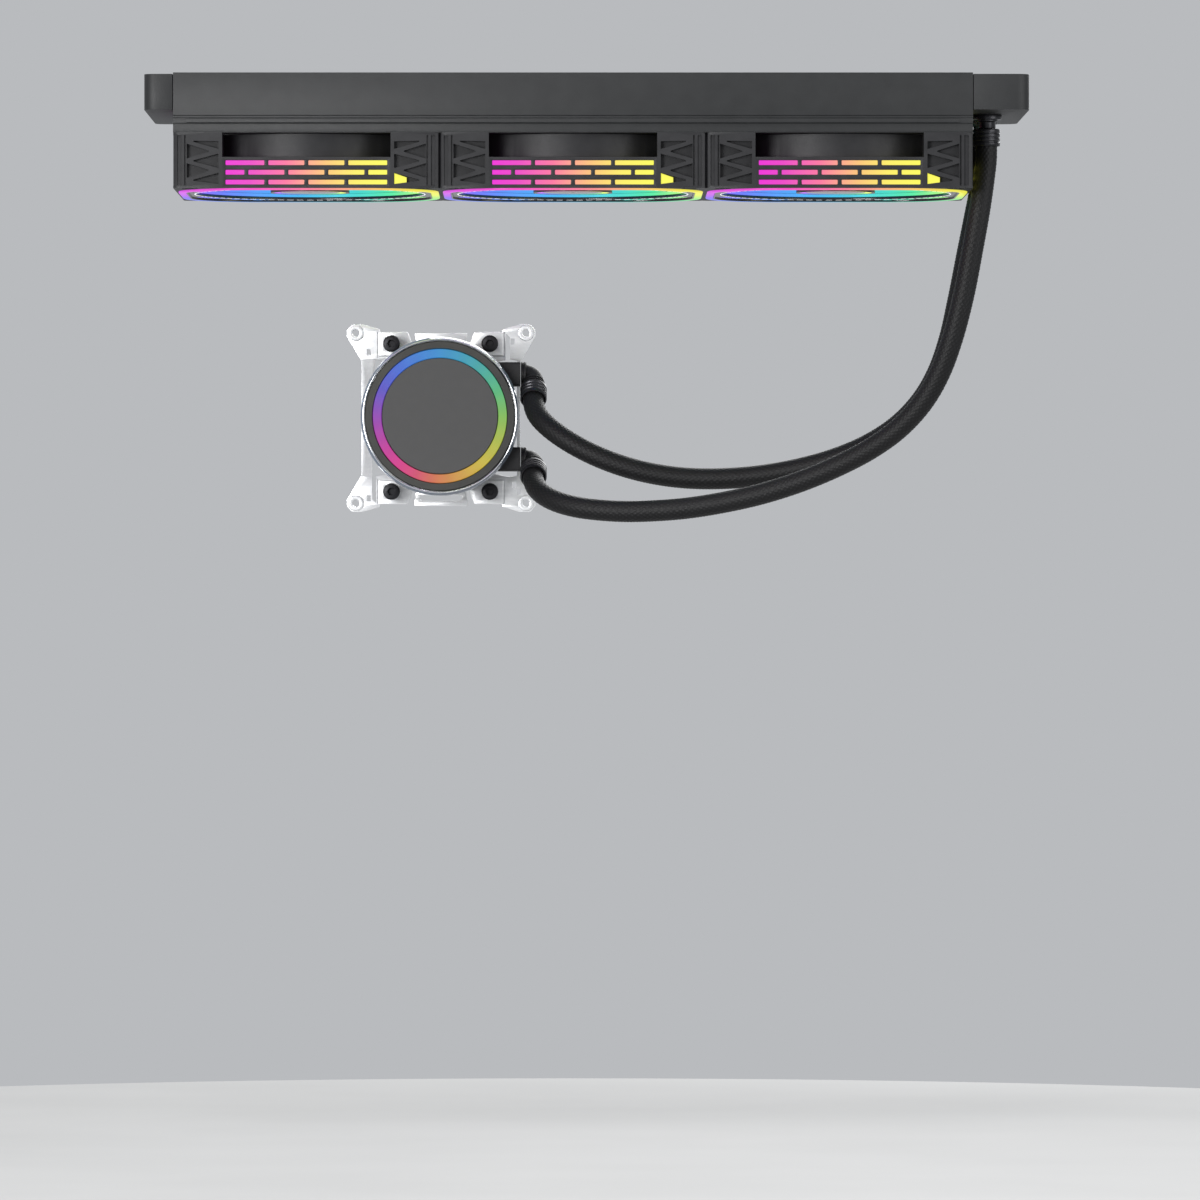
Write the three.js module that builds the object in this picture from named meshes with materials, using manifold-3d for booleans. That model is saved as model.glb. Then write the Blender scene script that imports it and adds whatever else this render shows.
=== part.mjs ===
// Sealed liquid cooler for a computer: a flat radiator with three lit fans under it, two sleeved
// hoses, and a round pump head in a steel retention bracket.
//
// Millimetres, +Z up. The origin is the centre of the radiator's top plane, which hangs under the
// top of a computer case. +X runs along the radiator to its hose end, and -Y is the side that the
// pump head's lit cap faces.

import * as THREE from 'three';
import { mergeVertices } from 'three/addons/utils/BufferGeometryUtils.js';
import Module from 'manifold-3d';

const wasm = await Module();
wasm.setup();

// ---- Driving dimensions ----

const FAN_COUNT = 3;
const FAN_SIZE = 120;
const FAN_DEPTH = 25;
const FAN_HOLE_SPACING = 105;
const FAN_HOLE_RADIUS = 2.2;
const FAN_BORE_RADIUS = 54.2;
const FAN_FACE_RADIUS = 52;
const FAN_WALL = 2;
const BLADE_COUNT = 9;
const BLADE_TIP_RADIUS = 52.6;
const HUB_RADIUS = 18;
const FAN_POST_START = 37.9;
const FAN_FLOOR_TOP = -22.2;
const FACE_POCKET_TOP = -23.6;
const STRUT_DEPTH = 2.6;
const BEARING_RADIUS = 4;
const BEARING_BORE = 1.6;
const SHAFT_RADIUS = 1.5;
const SIDE_PLATE_TOP = -11;
const SIDE_WINDOW_HALF = 36.6;
const SIDE_WINDOW_TOP = -12.4;
const SIDE_WINDOW_LOW = -23.4;
const LIGHT_RING_SIZE = 118;
const LIGHT_RING_CORNER = 35;
const LIGHT_RING_WIDTH = 3.4;

const RADIATOR_LENGTH = FAN_COUNT * FAN_SIZE;
const RADIATOR_WIDTH = 120;
const RADIATOR_DEPTH = 27;
const CORE_TOP = -1.2;
const CORE_DEPTH = 15.8;
const TUBE_COUNT = 13;
const TUBE_PITCH = 9;
const TUBE_THICKNESS = 2;
const HOSE_TANK_LENGTH = 25.4;
const RETURN_TANK_LENGTH = 13;
const TANK_DEPTH = 16;
const TANK_TOP = -0.6;
const TANK_WALL = 1.6;
const PLUG_Y = -30;
const PLUG_Z = -8.6;
const RAIL_HOLE_RADIUS = 1.8;
const BEAD_TOP = -20.5;
const BEAD_LOW = -22.8;
const BEAD_HALF_LENGTH = 174;

const HOSE_RADIUS = 5;
const HOSE_SIDES = 8;
const HOSE_STEPS = 36;
const BARB_X = 188;
const BARB_Y = 18;
const BARB_BORE = 1.9;
const FERRULE_RADIUS = 6.2;
const FERRULE_LENGTH = 7.8;
const FERRULE_TOP = -23.2;

const PUMP_X = -61.7;
const PUMP_Z = -151.5;
const CONTACT_Y = 124;
const PUMP_HEIGHT = 55;
const PORT_SPREAD = 19.8;
const PORT_HEIGHT = 37;
const PORT_REACH = 37.4;
const BODY_RADIUS = 33.5;
const CAP_RADIUS = 36;
const CAP_LOW = 46.6;
const CAP_FACE = 54.4;
const CAN_RADIUS = 10.8;
const WELL_TOP = 29.8;
const PORT_BORE = 2.6;
const ELBOW_RUN = 5.9;
const ELBOW_LEG = 9;
const ELBOW_BORE = 2.4;

const BRACKET_BACK = 9.1;
const BRACKET_SHEET = 2;
const EAR_REACH = 39.9;
const EAR_RADIUS = 4.4;
const EAR_HOLE_RADIUS = 1.7;
const SCREW_X = 23;
const SCREW_Y = 34.6;
const SCREW_RADIUS = 1.9;
const SCREW_HEAD_RADIUS = 4;
const SCREW_HEAD_LOW = 20.4;
const SCREW_HEAD_TOP = 24.4;
const SPRING_RADIUS = 3;
const SPRING_WIRE = 0.4;

// Elbow swivel, in degrees from straight down towards the lit side.
const UPPER_SWIVEL = 45;
const LOWER_SWIVEL = 60;

const GAP = 0.2;

// Sides of the polygon that stands for a circle, by how large the circle is.
const LARGE_SIDES = 28;
const MIDDLE_SIDES = 20;
const SMALL_SIDES = 12;
const HOLE_SIDES = 8;

// ---- Hose routes, from the pump to the radiator ----

const UPPER_HOSE_ROUTE = [
  [-18.2, 79.5, -139.2], [-18.2, 74.9, -143.8], [-17.7, 70.8, -147.6], [-15.9, 66.4, -151.6],
  [-12.2, 62.2, -155.8], [-6.6, 58.6, -160.4], [1.0, 55.6, -165.3], [11.0, 53.4, -170.4],
  [23.0, 52.0, -175.0], [36.5, 50.9, -178.5], [51.5, 49.6, -180.6], [68.0, 47.8, -181.0],
  [86.0, 45.2, -179.7], [105.0, 41.8, -176.4], [122.5, 38.0, -171.4], [137.5, 34.2, -164.8],
  [150.0, 30.4, -156.4], [160.0, 26.9, -145.8], [167.2, 24.0, -133.6], [172.6, 21.6, -118.4],
  [176.8, 19.7, -99.6], [180.8, 18.5, -79.0], [184.2, 18.0, -62.0], [186.7, 18.0, -49.0],
  [187.8, 18.0, -39.0], [188.0, 18.0, -31.0], [188.0, 18.0, -24.6],
];

const LOWER_HOSE_ROUTE = [
  [-18.2, 77.8, -176.6], [-18.2, 72.2, -179.85], [-17.8, 67.0, -182.7], [-16.1, 61.0, -185.8],
  [-12.4, 55.0, -189.0], [-6.4, 49.6, -191.9], [2.0, 44.9, -194.2], [12.5, 41.2, -195.6],
  [24.5, 38.2, -196.3], [38.0, 35.4, -196.0], [53.0, 32.2, -194.8], [69.5, 28.2, -192.2],
  [87.0, 23.4, -188.3], [105.5, 17.8, -182.4], [123.0, 11.8, -175.0], [137.5, 6.2, -167.2],
  [149.6, 1.0, -158.2], [159.8, -3.8, -146.8], [167.2, -8.0, -133.8], [173.0, -11.8, -117.6],
  [178.0, -14.9, -97.8], [181.8, -16.9, -77.6], [184.9, -17.8, -60.0], [186.9, -18.0, -46.0],
  [187.9, -18.0, -37.0], [188.0, -18.0, -31.0], [188.0, -18.0, -24.6],
];

// ---- Geometry helpers ----

// A closed geometry as a solid that can be joined and cut, with its faces turned outwards.
function solid(geometry) {
  const bare = geometry.clone();
  bare.deleteAttribute('normal');
  bare.deleteAttribute('uv');
  const merged = mergeVertices(bare, 1e-4);
  const position = merged.getAttribute('position');
  const index = merged.getIndex().array;
  const [a, b, c] = [new THREE.Vector3(), new THREE.Vector3(), new THREE.Vector3()];
  const triangles = [];
  let volume = 0;
  for (let i = 0; i < index.length; i += 3) {
    const [p, q, r] = index.slice(i, i + 3);
    if (p === q || q === r || r === p) continue;
    triangles.push([p, q, r]);
    a.fromBufferAttribute(position, p);
    b.fromBufferAttribute(position, q);
    c.fromBufferAttribute(position, r);
    volume += a.dot(b.cross(c));
  }
  if (volume < 0) triangles.forEach((triangle) => triangle.reverse());
  return new wasm.Manifold(new wasm.Mesh({
    numProp: 3,
    vertProperties: Float32Array.from(position.array),
    triVerts: Uint32Array.from(triangles.flat()),
  }));
}

function geometryOf(manifold) {
  const mesh = manifold.getMesh();
  const geometry = new THREE.BufferGeometry();
  geometry.setAttribute('position', new THREE.BufferAttribute(mesh.vertProperties, 3));
  geometry.setIndex(new THREE.BufferAttribute(mesh.triVerts, 1));
  return geometry;
}

function join(...geometries) {
  return geometryOf(geometries.map(solid).reduce((sum, next) => sum.add(next)));
}

function cut(base, ...tools) {
  return geometryOf(tools.map(solid).reduce((rest, tool) => rest.subtract(tool), solid(base)));
}

function block(x0, x1, y0, y1, z0, z1) {
  const geometry = new THREE.BoxGeometry(x1 - x0, y1 - y0, z1 - z0);
  return geometry.translate((x0 + x1) / 2, (y0 + y1) / 2, (z0 + z1) / 2);
}

function prism(shape, z0, z1, curveSegments = 3) {
  const options = { depth: z1 - z0, bevelEnabled: false, curveSegments };
  return new THREE.ExtrudeGeometry(shape, options).translate(0, 0, z0);
}

// A profile of [radius, height] points turned about Z.
function turned(profile, sides) {
  const points = profile.map(([radius, height]) => new THREE.Vector2(radius, height));
  return new THREE.LatheGeometry(points, sides).rotateX(Math.PI / 2);
}

function disc(radius, z0, z1, sides, x = 0, y = 0) {
  return turned([[0, z0], [radius, z0], [radius, z1], [0, z1]], sides).translate(x, y, 0);
}

function ring(inner, outer, z0, z1, sides) {
  return turned([[inner, z0], [outer, z0], [outer, z1], [inner, z1], [inner, z0]], sides);
}

function polygon(points) {
  return new THREE.Shape(points.map(([x, y]) => new THREE.Vector2(x, y)));
}

function roundedSquare(size, corner) {
  const half = size / 2;
  const reach = half - corner;
  const shape = new THREE.Shape();
  shape.moveTo(half, -reach);
  for (let quarter = 0; quarter < 4; quarter += 1) {
    const start = (quarter * Math.PI) / 2;
    const centre = new THREE.Vector2(reach, reach).rotateAround(new THREE.Vector2(), start);
    shape.absarc(centre.x, centre.y, corner, start, start + Math.PI / 2, false);
  }
  shape.closePath();
  return shape;
}

function circleShape(radius, sides) {
  const turn = (2 * Math.PI) / sides;
  return polygon(Array.from({ length: sides }, (_, i) => (
    [radius * Math.cos(i * turn), radius * Math.sin(i * turn)]
  )));
}

function pipe(shape, curve, steps) {
  return new THREE.ExtrudeGeometry(shape, { extrudePath: curve, steps, curveSegments: 1 });
}

// Turns a geometry drawn in a section plane so that its X and Y lie along Y and Z, and its
// extrusion runs along X.
function alongX(geometry) {
  const [x, y, z] = [new THREE.Vector3(1, 0, 0), new THREE.Vector3(0, 1, 0), new THREE.Vector3(0, 0, 1)];
  return geometry.applyMatrix4(new THREE.Matrix4().makeBasis(y, z, x));
}

// Makes the copies that the four corner signs give.
function corners(make) {
  return [[1, 1], [-1, 1], [-1, -1], [1, -1]].map(([sx, sy]) => make(sx, sy));
}

function finish(color, roughness, metalness = 0, extra = {}) {
  return new THREE.MeshStandardMaterial({ color, roughness, metalness, flatShading: true, ...extra });
}

function piece(name, geometry, material) {
  const mesh = new THREE.Mesh(geometryOf(solid(geometry)), material());
  mesh.name = name;
  return mesh;
}

// ---- Materials ----

const blackPaint = () => finish(0x1c1c1e, 0.45, 0.4);
const finMetal = () => finish(0x2a2b2e, 0.5, 0.6);
const blackPlastic = () => finish(0x161617, 0.5);
const smokePlastic = () => finish(0x4a4a4c, 0.25);
const milkPlastic = () => finish(0xe8e8f2, 0.3, 0, { transparent: true, opacity: 0.6 });
const lightPlastic = () => finish(0xff60c0, 0.4, 0, { emissive: 0x803060 });
const steel = () => finish(0xd8d8da, 0.3, 0.9);
const chrome = () => finish(0xe8eaee, 0.1, 1);
const clearPlastic = () => finish(0xbcd0e8, 0.08, 0, { transparent: true, opacity: 0.35 });
const copper = () => finish(0xb87048, 0.3, 1);
const rubber = () => finish(0x111112, 0.8);
const sleeve = () => finish(0x141416, 0.75);
const boardGreen = () => finish(0x1f3a2a, 0.5);
const winding = () => finish(0xa85c30, 0.45, 0.8);
const ceramic = () => finish(0xe8e4da, 0.2);

// ---- Radiator ----

// Flat tubes with the fin banks between them a little lower, brazed to a header plate at each end.
function radiatorCore() {
  const half = RADIATOR_WIDTH / 2 - 1;
  const finDrop = 0.8;
  const firstTube = (-(TUBE_COUNT - 1) / 2) * TUBE_PITCH;
  const low = CORE_TOP - CORE_DEPTH;
  const top = [];
  for (let i = 0; i < TUBE_COUNT; i += 1) {
    const y = firstTube + i * TUBE_PITCH;
    const [y0, y1] = [y - TUBE_THICKNESS / 2, y + TUBE_THICKNESS / 2];
    top.push([y0, CORE_TOP - finDrop], [y0, CORE_TOP], [y1, CORE_TOP], [y1, CORE_TOP - finDrop]);
  }
  top.unshift([-half, CORE_TOP - finDrop]);
  top.push([half, CORE_TOP - finDrop]);
  const bottom = top.map(([y, z]) => [y, low + CORE_TOP - z]).reverse();
  const header = 2;
  const end = RADIATOR_LENGTH / 2;
  const bank = alongX(prism(polygon([...top, ...bottom]), header - end, end - header));
  const plates = [-end, end - header].map((x) => (
    block(x, x + header, -half, half, low - 0.4, CORE_TOP + 0.1)
  ));
  return join(bank, ...plates);
}

// A side channel: web, two flanges with a hole over each fan screw, and a rolled bead on the web.
function rail(side) {
  const end = RADIATOR_LENGTH / 2;
  const outer = RADIATOR_WIDTH / 2;
  const flangeReach = 13;
  const web = 0.8;
  const sheet = 1;
  const beadRise = 0.6;
  const place = (y0, y1, z0, z1, x = end) => (
    block(-x, x, Math.min(side * y0, side * y1), Math.max(side * y0, side * y1), z0, z1)
  );
  const channel = join(
    place(outer - web, outer, -RADIATOR_DEPTH, 0),
    place(outer - flangeReach, outer, -sheet, 0),
    place(outer - flangeReach, outer, -RADIATOR_DEPTH, sheet - RADIATOR_DEPTH),
    place(outer - web, outer + beadRise, BEAD_LOW, BEAD_TOP, BEAD_HALF_LENGTH),
  );
  const holes = [];
  for (let fan = 0; fan < FAN_COUNT; fan += 1) {
    for (const offset of [-FAN_HOLE_SPACING / 2, FAN_HOLE_SPACING / 2]) {
      const x = fanCentre(fan) + offset;
      const y = (side * FAN_HOLE_SPACING) / 2;
      holes.push(disc(RAIL_HOLE_RADIUS, -RADIATOR_DEPTH - 1, 1, 6, x, y));
    }
  }
  return cut(channel, ...holes);
}

// A tank is a shallow box, open to the core, with rounded outer corners.
function tank(length, openings) {
  const half = RADIATOR_WIDTH / 2 - 0.6;
  const top = TANK_TOP;
  const bottom = top - TANK_DEPTH;
  const round = 7;
  const shape = new THREE.Shape();
  shape.moveTo(0, -half);
  shape.lineTo(length - round, -half);
  shape.absarc(length - round, round - half, round, -Math.PI / 2, 0, false);
  shape.absarc(length - round, half - round, round, 0, Math.PI / 2, false);
  shape.lineTo(0, half);
  shape.closePath();
  const w = TANK_WALL;
  const hollow = block(-1, length - w, w - half, half - w, bottom + w, top - w);
  const inner = cut(hollow, ...[-1, 1].map((s) => (
    block(length - round, length, Math.min(s * half, s * (half - round)),
      Math.max(s * half, s * (half - round)), bottom, top)
  )));
  return cut(prism(shape, bottom, top), inner, ...openings);
}

function hoseTank() {
  const start = RADIATOR_LENGTH / 2 + GAP;
  const spigotHole = 3.1;
  const below = TANK_TOP - TANK_DEPTH;
  const holes = [-BARB_Y, BARB_Y].map((y) => (
    disc(spigotHole, below - 2, below + 2 * TANK_WALL, SMALL_SIDES, BARB_X - start, y)
  ));
  return tank(HOSE_TANK_LENGTH, holes).translate(start, 0, 0);
}

function returnTank() {
  const plugHole = 2.6;
  const hole = disc(plugHole, -8, 8, SMALL_SIDES).rotateY(Math.PI / 2);
  hole.translate(RETURN_TANK_LENGTH, PLUG_Y, PLUG_Z);
  const shell = tank(RETURN_TANK_LENGTH, [hole]);
  return shell.rotateZ(Math.PI).translate(-RADIATOR_LENGTH / 2 - GAP, 0, 0);
}

function fillPlug() {
  const face = -RADIATOR_LENGTH / 2 - GAP - RETURN_TANK_LENGTH;
  const plug = cut(
    turned([[0, -3], [2.3, -3], [2.3, 0.2], [4.6, 0.2], [4.6, 2], [0, 2]], SMALL_SIDES),
    disc(1.8, 0.9, 3, 6),
  );
  return plug.rotateY(-Math.PI / 2).translate(face, -PLUG_Y, PLUG_Z);
}

// A barb's flange seats on the tank, its spigot enters it, and its neck runs down to the hose.
function radiatorBarb(y) {
  const [spigot, flange, neck] = [2.9, 7, 4.2];
  const seat = TANK_TOP - TANK_DEPTH - GAP;
  const flangeLow = seat - 2.2;
  const low = FERRULE_TOP + 0.3;
  const profile = [
    [BARB_BORE, seat + TANK_WALL], [spigot, seat + TANK_WALL], [spigot, seat], [flange, seat],
    [flange, flangeLow], [neck, flangeLow], [neck, low], [BARB_BORE, low],
    [BARB_BORE, seat + TANK_WALL],
  ];
  return turned(profile, SMALL_SIDES).translate(BARB_X, y, 0);
}

// A crimped ferrule: a cup round the hose's end, with a hole for the barb's neck.
function ferrule() {
  const web = 1;
  const [neckHole, cup] = [4.4, 5.45];
  return turned([
    [neckHole, 0], [FERRULE_RADIUS, 0], [FERRULE_RADIUS, -FERRULE_LENGTH], [cup, -FERRULE_LENGTH],
    [cup, -web], [neckHole, -web], [neckHole, 0],
  ], SMALL_SIDES);
}

// ---- Fans ----

function fanCentre(index) {
  return (index - (FAN_COUNT - 1) / 2) * FAN_SIZE;
}

// Fan parts are drawn with Z = 0 on the radiator side and the lit face at the bottom.

// Corner columns for the screws, each tied to the duct by a thin plate at its top.
function fanPosts() {
  const half = FAN_SIZE / 2;
  const chamfer = 2.4;
  const outline = (inner) => [
    [FAN_POST_START, inner], [inner, FAN_POST_START], [half, FAN_POST_START], [half, half - chamfer],
    [half - chamfer, half], [FAN_POST_START, half],
  ];
  const column = (points, sx, sy, z0) => (
    prism(polygon(points.map(([x, y]) => [sx * x, sy * y])), z0, 0)
  );
  return corners((sx, sy) => [
    column(outline(46), sx, sy, -FAN_DEPTH), column(outline(40), sx, sy, -STRUT_DEPTH),
  ]).flat();
}

function fanFrame() {
  const half = FAN_SIZE / 2;
  const inner = FAN_BORE_RADIUS;
  const sheet = 1.6;
  const windowDepth = 3.2;
  const motorRadius = 20;
  const bearingLow = -14;
  const sidePlates = [0, 1, 2, 3].map((quarter) => (
    block(-FAN_POST_START - 1, FAN_POST_START + 1, -half, sheet - half, -FAN_DEPTH, SIDE_PLATE_TOP)
      .rotateZ((quarter * Math.PI) / 2)
  ));
  const windows = [0, 1, 2, 3].map((quarter) => (
    block(-SIDE_WINDOW_HALF, SIDE_WINDOW_HALF, -half - 1, windowDepth - half,
      SIDE_WINDOW_LOW, SIDE_WINDOW_TOP).rotateZ((quarter * Math.PI) / 2)
  ));
  const floorPlate = block(1 - half, half - 1, 1 - half, half - 1, -FAN_DEPTH, FAN_FLOOR_TOP);
  const hole = FAN_HOLE_SPACING / 2;
  const shell = cut(
    join(...fanPosts(), ...sidePlates, floorPlate),
    disc(inner + 1, FAN_FLOOR_TOP, 1, LARGE_SIDES),
    disc(FAN_FACE_RADIUS, -FAN_DEPTH - 1, 0, LARGE_SIDES),
    prism(roundedSquare(LIGHT_RING_SIZE + 0.5, LIGHT_RING_CORNER + 0.2),
      -FAN_DEPTH - 1, FACE_POCKET_TOP),
    ...corners((sx, sy) => (
      disc(FAN_HOLE_RADIUS, -FAN_DEPTH - 1, 1, HOLE_SIDES, sx * hole, sy * hole)
    )),
    ...windows,
  );
  const duct = ring(inner, inner + FAN_WALL, FAN_FLOOR_TOP - 0.4, 0, LARGE_SIDES);
  const motorMount = turned([
    [0, 0], [motorRadius, 0], [motorRadius, -STRUT_DEPTH], [BEARING_RADIUS, -STRUT_DEPTH],
    [BEARING_RADIUS, bearingLow], [BEARING_BORE, bearingLow], [BEARING_BORE, -2.2], [0, -2.2],
  ], MIDDLE_SIDES);
  const struts = [0, 1, 2, 3].map((quarter) => (
    block(motorRadius - 1.5, inner + 1, -2.6, 2.6, -STRUT_DEPTH, 0)
      .rotateZ(Math.PI / 4 + (quarter * Math.PI) / 2)
  ));
  return join(shell, duct, motorMount, ...struts);
}

// The dark trim inside the light ring.
function fanTrim() {
  const size = LIGHT_RING_SIZE - 2 * LIGHT_RING_WIDTH - 0.4;
  return cut(
    prism(roundedSquare(size, LIGHT_RING_CORNER - LIGHT_RING_WIDTH - 0.2),
      -FAN_DEPTH, FACE_POCKET_TOP - GAP),
    disc(FAN_FACE_RADIUS, -FAN_DEPTH - 1, 0, LARGE_SIDES),
  );
}

function fanLightRing() {
  const innerSize = LIGHT_RING_SIZE - 2 * LIGHT_RING_WIDTH;
  const bottom = -FAN_DEPTH - 0.8;
  return cut(
    prism(roundedSquare(LIGHT_RING_SIZE, LIGHT_RING_CORNER), bottom, FACE_POCKET_TOP - GAP),
    prism(roundedSquare(innerSize, LIGHT_RING_CORNER - LIGHT_RING_WIDTH), bottom - 1, 0),
  );
}

// A diffuser collar round the duct, with a flat window on each side of the fan.
function fanSideLight() {
  const inner = FAN_BORE_RADIUS + FAN_WALL + GAP;
  const half = FAN_SIZE / 2;
  const reach = SIDE_WINDOW_HALF - GAP;
  const windows = [0, 1, 2, 3].map((quarter) => (
    block(-reach, reach, GAP - half, 3 - half, SIDE_WINDOW_LOW + GAP, SIDE_WINDOW_TOP - GAP)
      .rotateZ((quarter * Math.PI) / 2)
  ));
  const collar = disc(inner + 1, FAN_FLOOR_TOP + GAP, -13.2, LARGE_SIDES);
  return cut(join(collar, ...windows), disc(inner, -26, 0, LARGE_SIDES));
}

// One blade: a swept, pitched strip from the hub to near the tip radius.
function fanBlade() {
  const stations = [
    [HUB_RADIUS - 1, 0, 0.75], [34, 10, 0.92], [BLADE_TIP_RADIUS, 27, 1.1],
  ]; // radius, sweep in degrees, lean from the fan's axis in radians
  const midHeight = -12.5;
  const thickness = 1.4;
  const positions = [];
  for (const [radius, sweep, lean] of stations) {
    const chord = 6 + radius * 0.68;
    for (const [along, up] of [[-1, -1], [1, -1], [1, 1], [-1, 1]]) {
      const across = (along * chord * Math.sin(lean)) / 2;
      const z = midHeight + (along * chord * Math.cos(lean)) / 2.6 + (up * thickness) / 2;
      const angle = THREE.MathUtils.degToRad(sweep) + across / radius;
      positions.push(radius * Math.cos(angle), radius * Math.sin(angle), z);
    }
  }
  const index = [];
  const quad = (a, b, c, d) => index.push(a, b, c, a, c, d);
  for (let s = 0; s < stations.length - 1; s += 1) {
    for (let k = 0; k < 4; k += 1) {
      const next = (k + 1) % 4;
      quad(4 * s + k, 4 * s + 4 + k, 4 * s + 4 + next, 4 * s + next);
    }
  }
  const last = 4 * (stations.length - 1);
  quad(0, 1, 2, 3);
  quad(last + 3, last + 2, last + 1, last);
  const geometry = new THREE.BufferGeometry();
  geometry.setAttribute('position', new THREE.Float32BufferAttribute(positions, 3));
  geometry.setIndex(index);
  return geometry;
}

// The hub is a cup over the motor, with its steel shaft moulded in.
function fanRotor() {
  const [faceLow, pocket, floor, roof] = [-24.4, -23.4, -22.2, -19.6];
  const [rimHigh, wall, shaftEnd] = [-4, 14.2, -3.4];
  const cup = turned([
    [0, floor], [13.8, floor], [13.8, pocket], [16.8, pocket], [16.8, faceLow],
    [HUB_RADIUS, faceLow], [HUB_RADIUS, rimHigh], [wall, rimHigh], [wall, roof],
    [SHAFT_RADIUS, roof], [SHAFT_RADIUS, shaftEnd], [0, shaftEnd],
  ], MIDDLE_SIDES);
  const blades = [];
  for (let i = 0; i < BLADE_COUNT; i += 1) {
    blades.push(fanBlade().rotateZ((i * 2 * Math.PI) / BLADE_COUNT));
  }
  return join(cup, ...blades);
}

function hubLight() {
  return ring(14, 16.6, -24.9, -23.6, MIDDLE_SIDES);
}

function poleStack(inner, hub, outer, poles, z0, z1) {
  const arm = (outer - hub) * 0.7;
  const blocks = [];
  for (let i = 0; i < poles; i += 1) {
    const pole = block(hub - 0.6, outer, -arm / 2, arm / 2, z0, z1);
    blocks.push(pole.rotateZ((i * 2 * Math.PI) / poles));
  }
  const stack = join(disc(hub, z0, z1, SMALL_SIDES), ...blocks);
  return cut(stack, disc(inner, z0 - 1, z1 + 1, SMALL_SIDES));
}

function fanStator() {
  return poleStack(BEARING_RADIUS + GAP, 7, 13, 4, -13, -4);
}

function addFan(group, index) {
  const fan = new THREE.Group();
  const tag = index + 1;
  fan.position.set(fanCentre(index), 0, -RADIATOR_DEPTH);
  fan.add(piece(`fan_frame_${tag}`, fanFrame(), blackPlastic));
  fan.add(piece(`fan_trim_${tag}`, fanTrim(), blackPlastic));
  fan.add(piece(`fan_light_ring_${tag}`, fanLightRing(), lightPlastic));
  fan.add(piece(`fan_side_light_${tag}`, fanSideLight(), lightPlastic));
  fan.add(piece(`fan_stator_${tag}`, fanStator(), winding));
  fan.add(piece(`fan_rotor_${tag}`, fanRotor(), milkPlastic));
  fan.add(piece(`fan_hub_light_${tag}`, hubLight(), lightPlastic));
  group.add(fan);
}

// ---- Pump head ----
// Drawn with Z = 0 on the cold plate's contact face and +Z towards the lit cap. X stays along the
// radiator and Y points up.

function coldPlate() {
  const half = 28;
  const chamfer = 7;
  const thickness = 3.6;
  const finCount = 10;
  const finPitch = 3;
  const plate = prism(polygon([
    [-half, chamfer - half], [chamfer - half, -half], [half - chamfer, -half], [half, chamfer - half],
    [half, half - chamfer], [half - chamfer, half], [chamfer - half, half], [-half, half - chamfer],
  ]), 0, thickness);
  const fins = [];
  for (let i = 0; i < finCount; i += 1) {
    const y = (i - (finCount - 1) / 2) * finPitch;
    fins.push(block(-15, 15, y - 0.7, y + 0.7, thickness - 0.2, thickness + 2.8));
  }
  return join(plate, ...fins);
}

// The body holds the wet chamber below, the impeller's well in its middle, and the dry motor
// space round the well, open to the cap.
function pumpBody() {
  const [flange, flangeTop, waist, shoulder, rim] = [34, 8.8, 31, 12.5, 44.6];
  const [motorRadius, motorFloor, canTop] = [29, 17, 31.2];
  const outside = turned([
    [0, 5], [flange, 5], [flange, flangeTop], [waist, flangeTop], [waist, shoulder],
    [BODY_RADIUS, shoulder], [BODY_RADIUS, rim], [0, rim],
  ], LARGE_SIDES);
  const motorSpace = turned([
    [CAN_RADIUS, motorFloor], [motorRadius, motorFloor], [motorRadius, rim + 1], [0, rim + 1],
    [0, canTop], [CAN_RADIUS, canTop], [CAN_RADIUS, motorFloor],
  ], MIDDLE_SIDES);
  const blocks = [-PORT_SPREAD, PORT_SPREAD].map((y) => (
    block(24, PORT_REACH, y - 5.6, y + 5.6, PORT_HEIGHT - 7, PORT_HEIGHT + 7)
  ));
  const bores = [-PORT_SPREAD, PORT_SPREAD].map((y) => (
    disc(PORT_BORE, -5, 5, HOLE_SIDES).rotateY(Math.PI / 2).translate(PORT_REACH, y, PORT_HEIGHT)
  ));
  const wetChamber = disc(24, 4, 14, MIDDLE_SIDES);
  const well = disc(9.4, 13, WELL_TOP, MIDDLE_SIDES);
  return cut(join(outside, ...blocks), motorSpace, wetChamber, well, ...bores);
}

function jetPlate() {
  return cut(disc(23.4, 6.8, 7.8, MIDDLE_SIDES), block(-1.6, 1.6, -12, 12, 6, 9));
}

function impeller() {
  const shaftBore = 1.3;
  const [low, shroudLow, shroudTop, magnetTop] = [8.6, 11.4, 12.8, 28.6];
  const [shroud, magnet] = [15.4, 8.6];
  const vanes = [];
  for (let i = 0; i < 6; i += 1) {
    vanes.push(block(3, shroud - 0.4, -0.8, 0.8, low, shroudTop - 0.6).rotateZ((i * Math.PI) / 3));
  }
  const wheel = turned([
    [0, shroudLow], [shroud, shroudLow], [shroud, shroudTop], [magnet, shroudTop],
    [magnet, magnetTop], [0, magnetTop],
  ], MIDDLE_SIDES);
  const boss = disc(4, low, shroudLow + 0.2, SMALL_SIDES);
  return cut(join(wheel, boss, ...vanes), disc(shaftBore, 0, 40, 16));
}

function impellerShaft() {
  return disc(1.2, 8.4, WELL_TOP - GAP, 16);
}

function pumpStator() {
  return poleStack(CAN_RADIUS + 0.8, 14, 21, 6, 17.6, 28);
}

function motorBoard() {
  return cut(ring(4, 28.4, 33, 34.4, MIDDLE_SIDES), block(-4, 4, 22, 30, 30, 40));
}

function lightBoard() {
  return ring(22, 33, 45, 46.2, MIDDLE_SIDES);
}

function plateGasket() {
  return ring(24.6, 27, 3.8, 4.8, 24);
}

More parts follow.
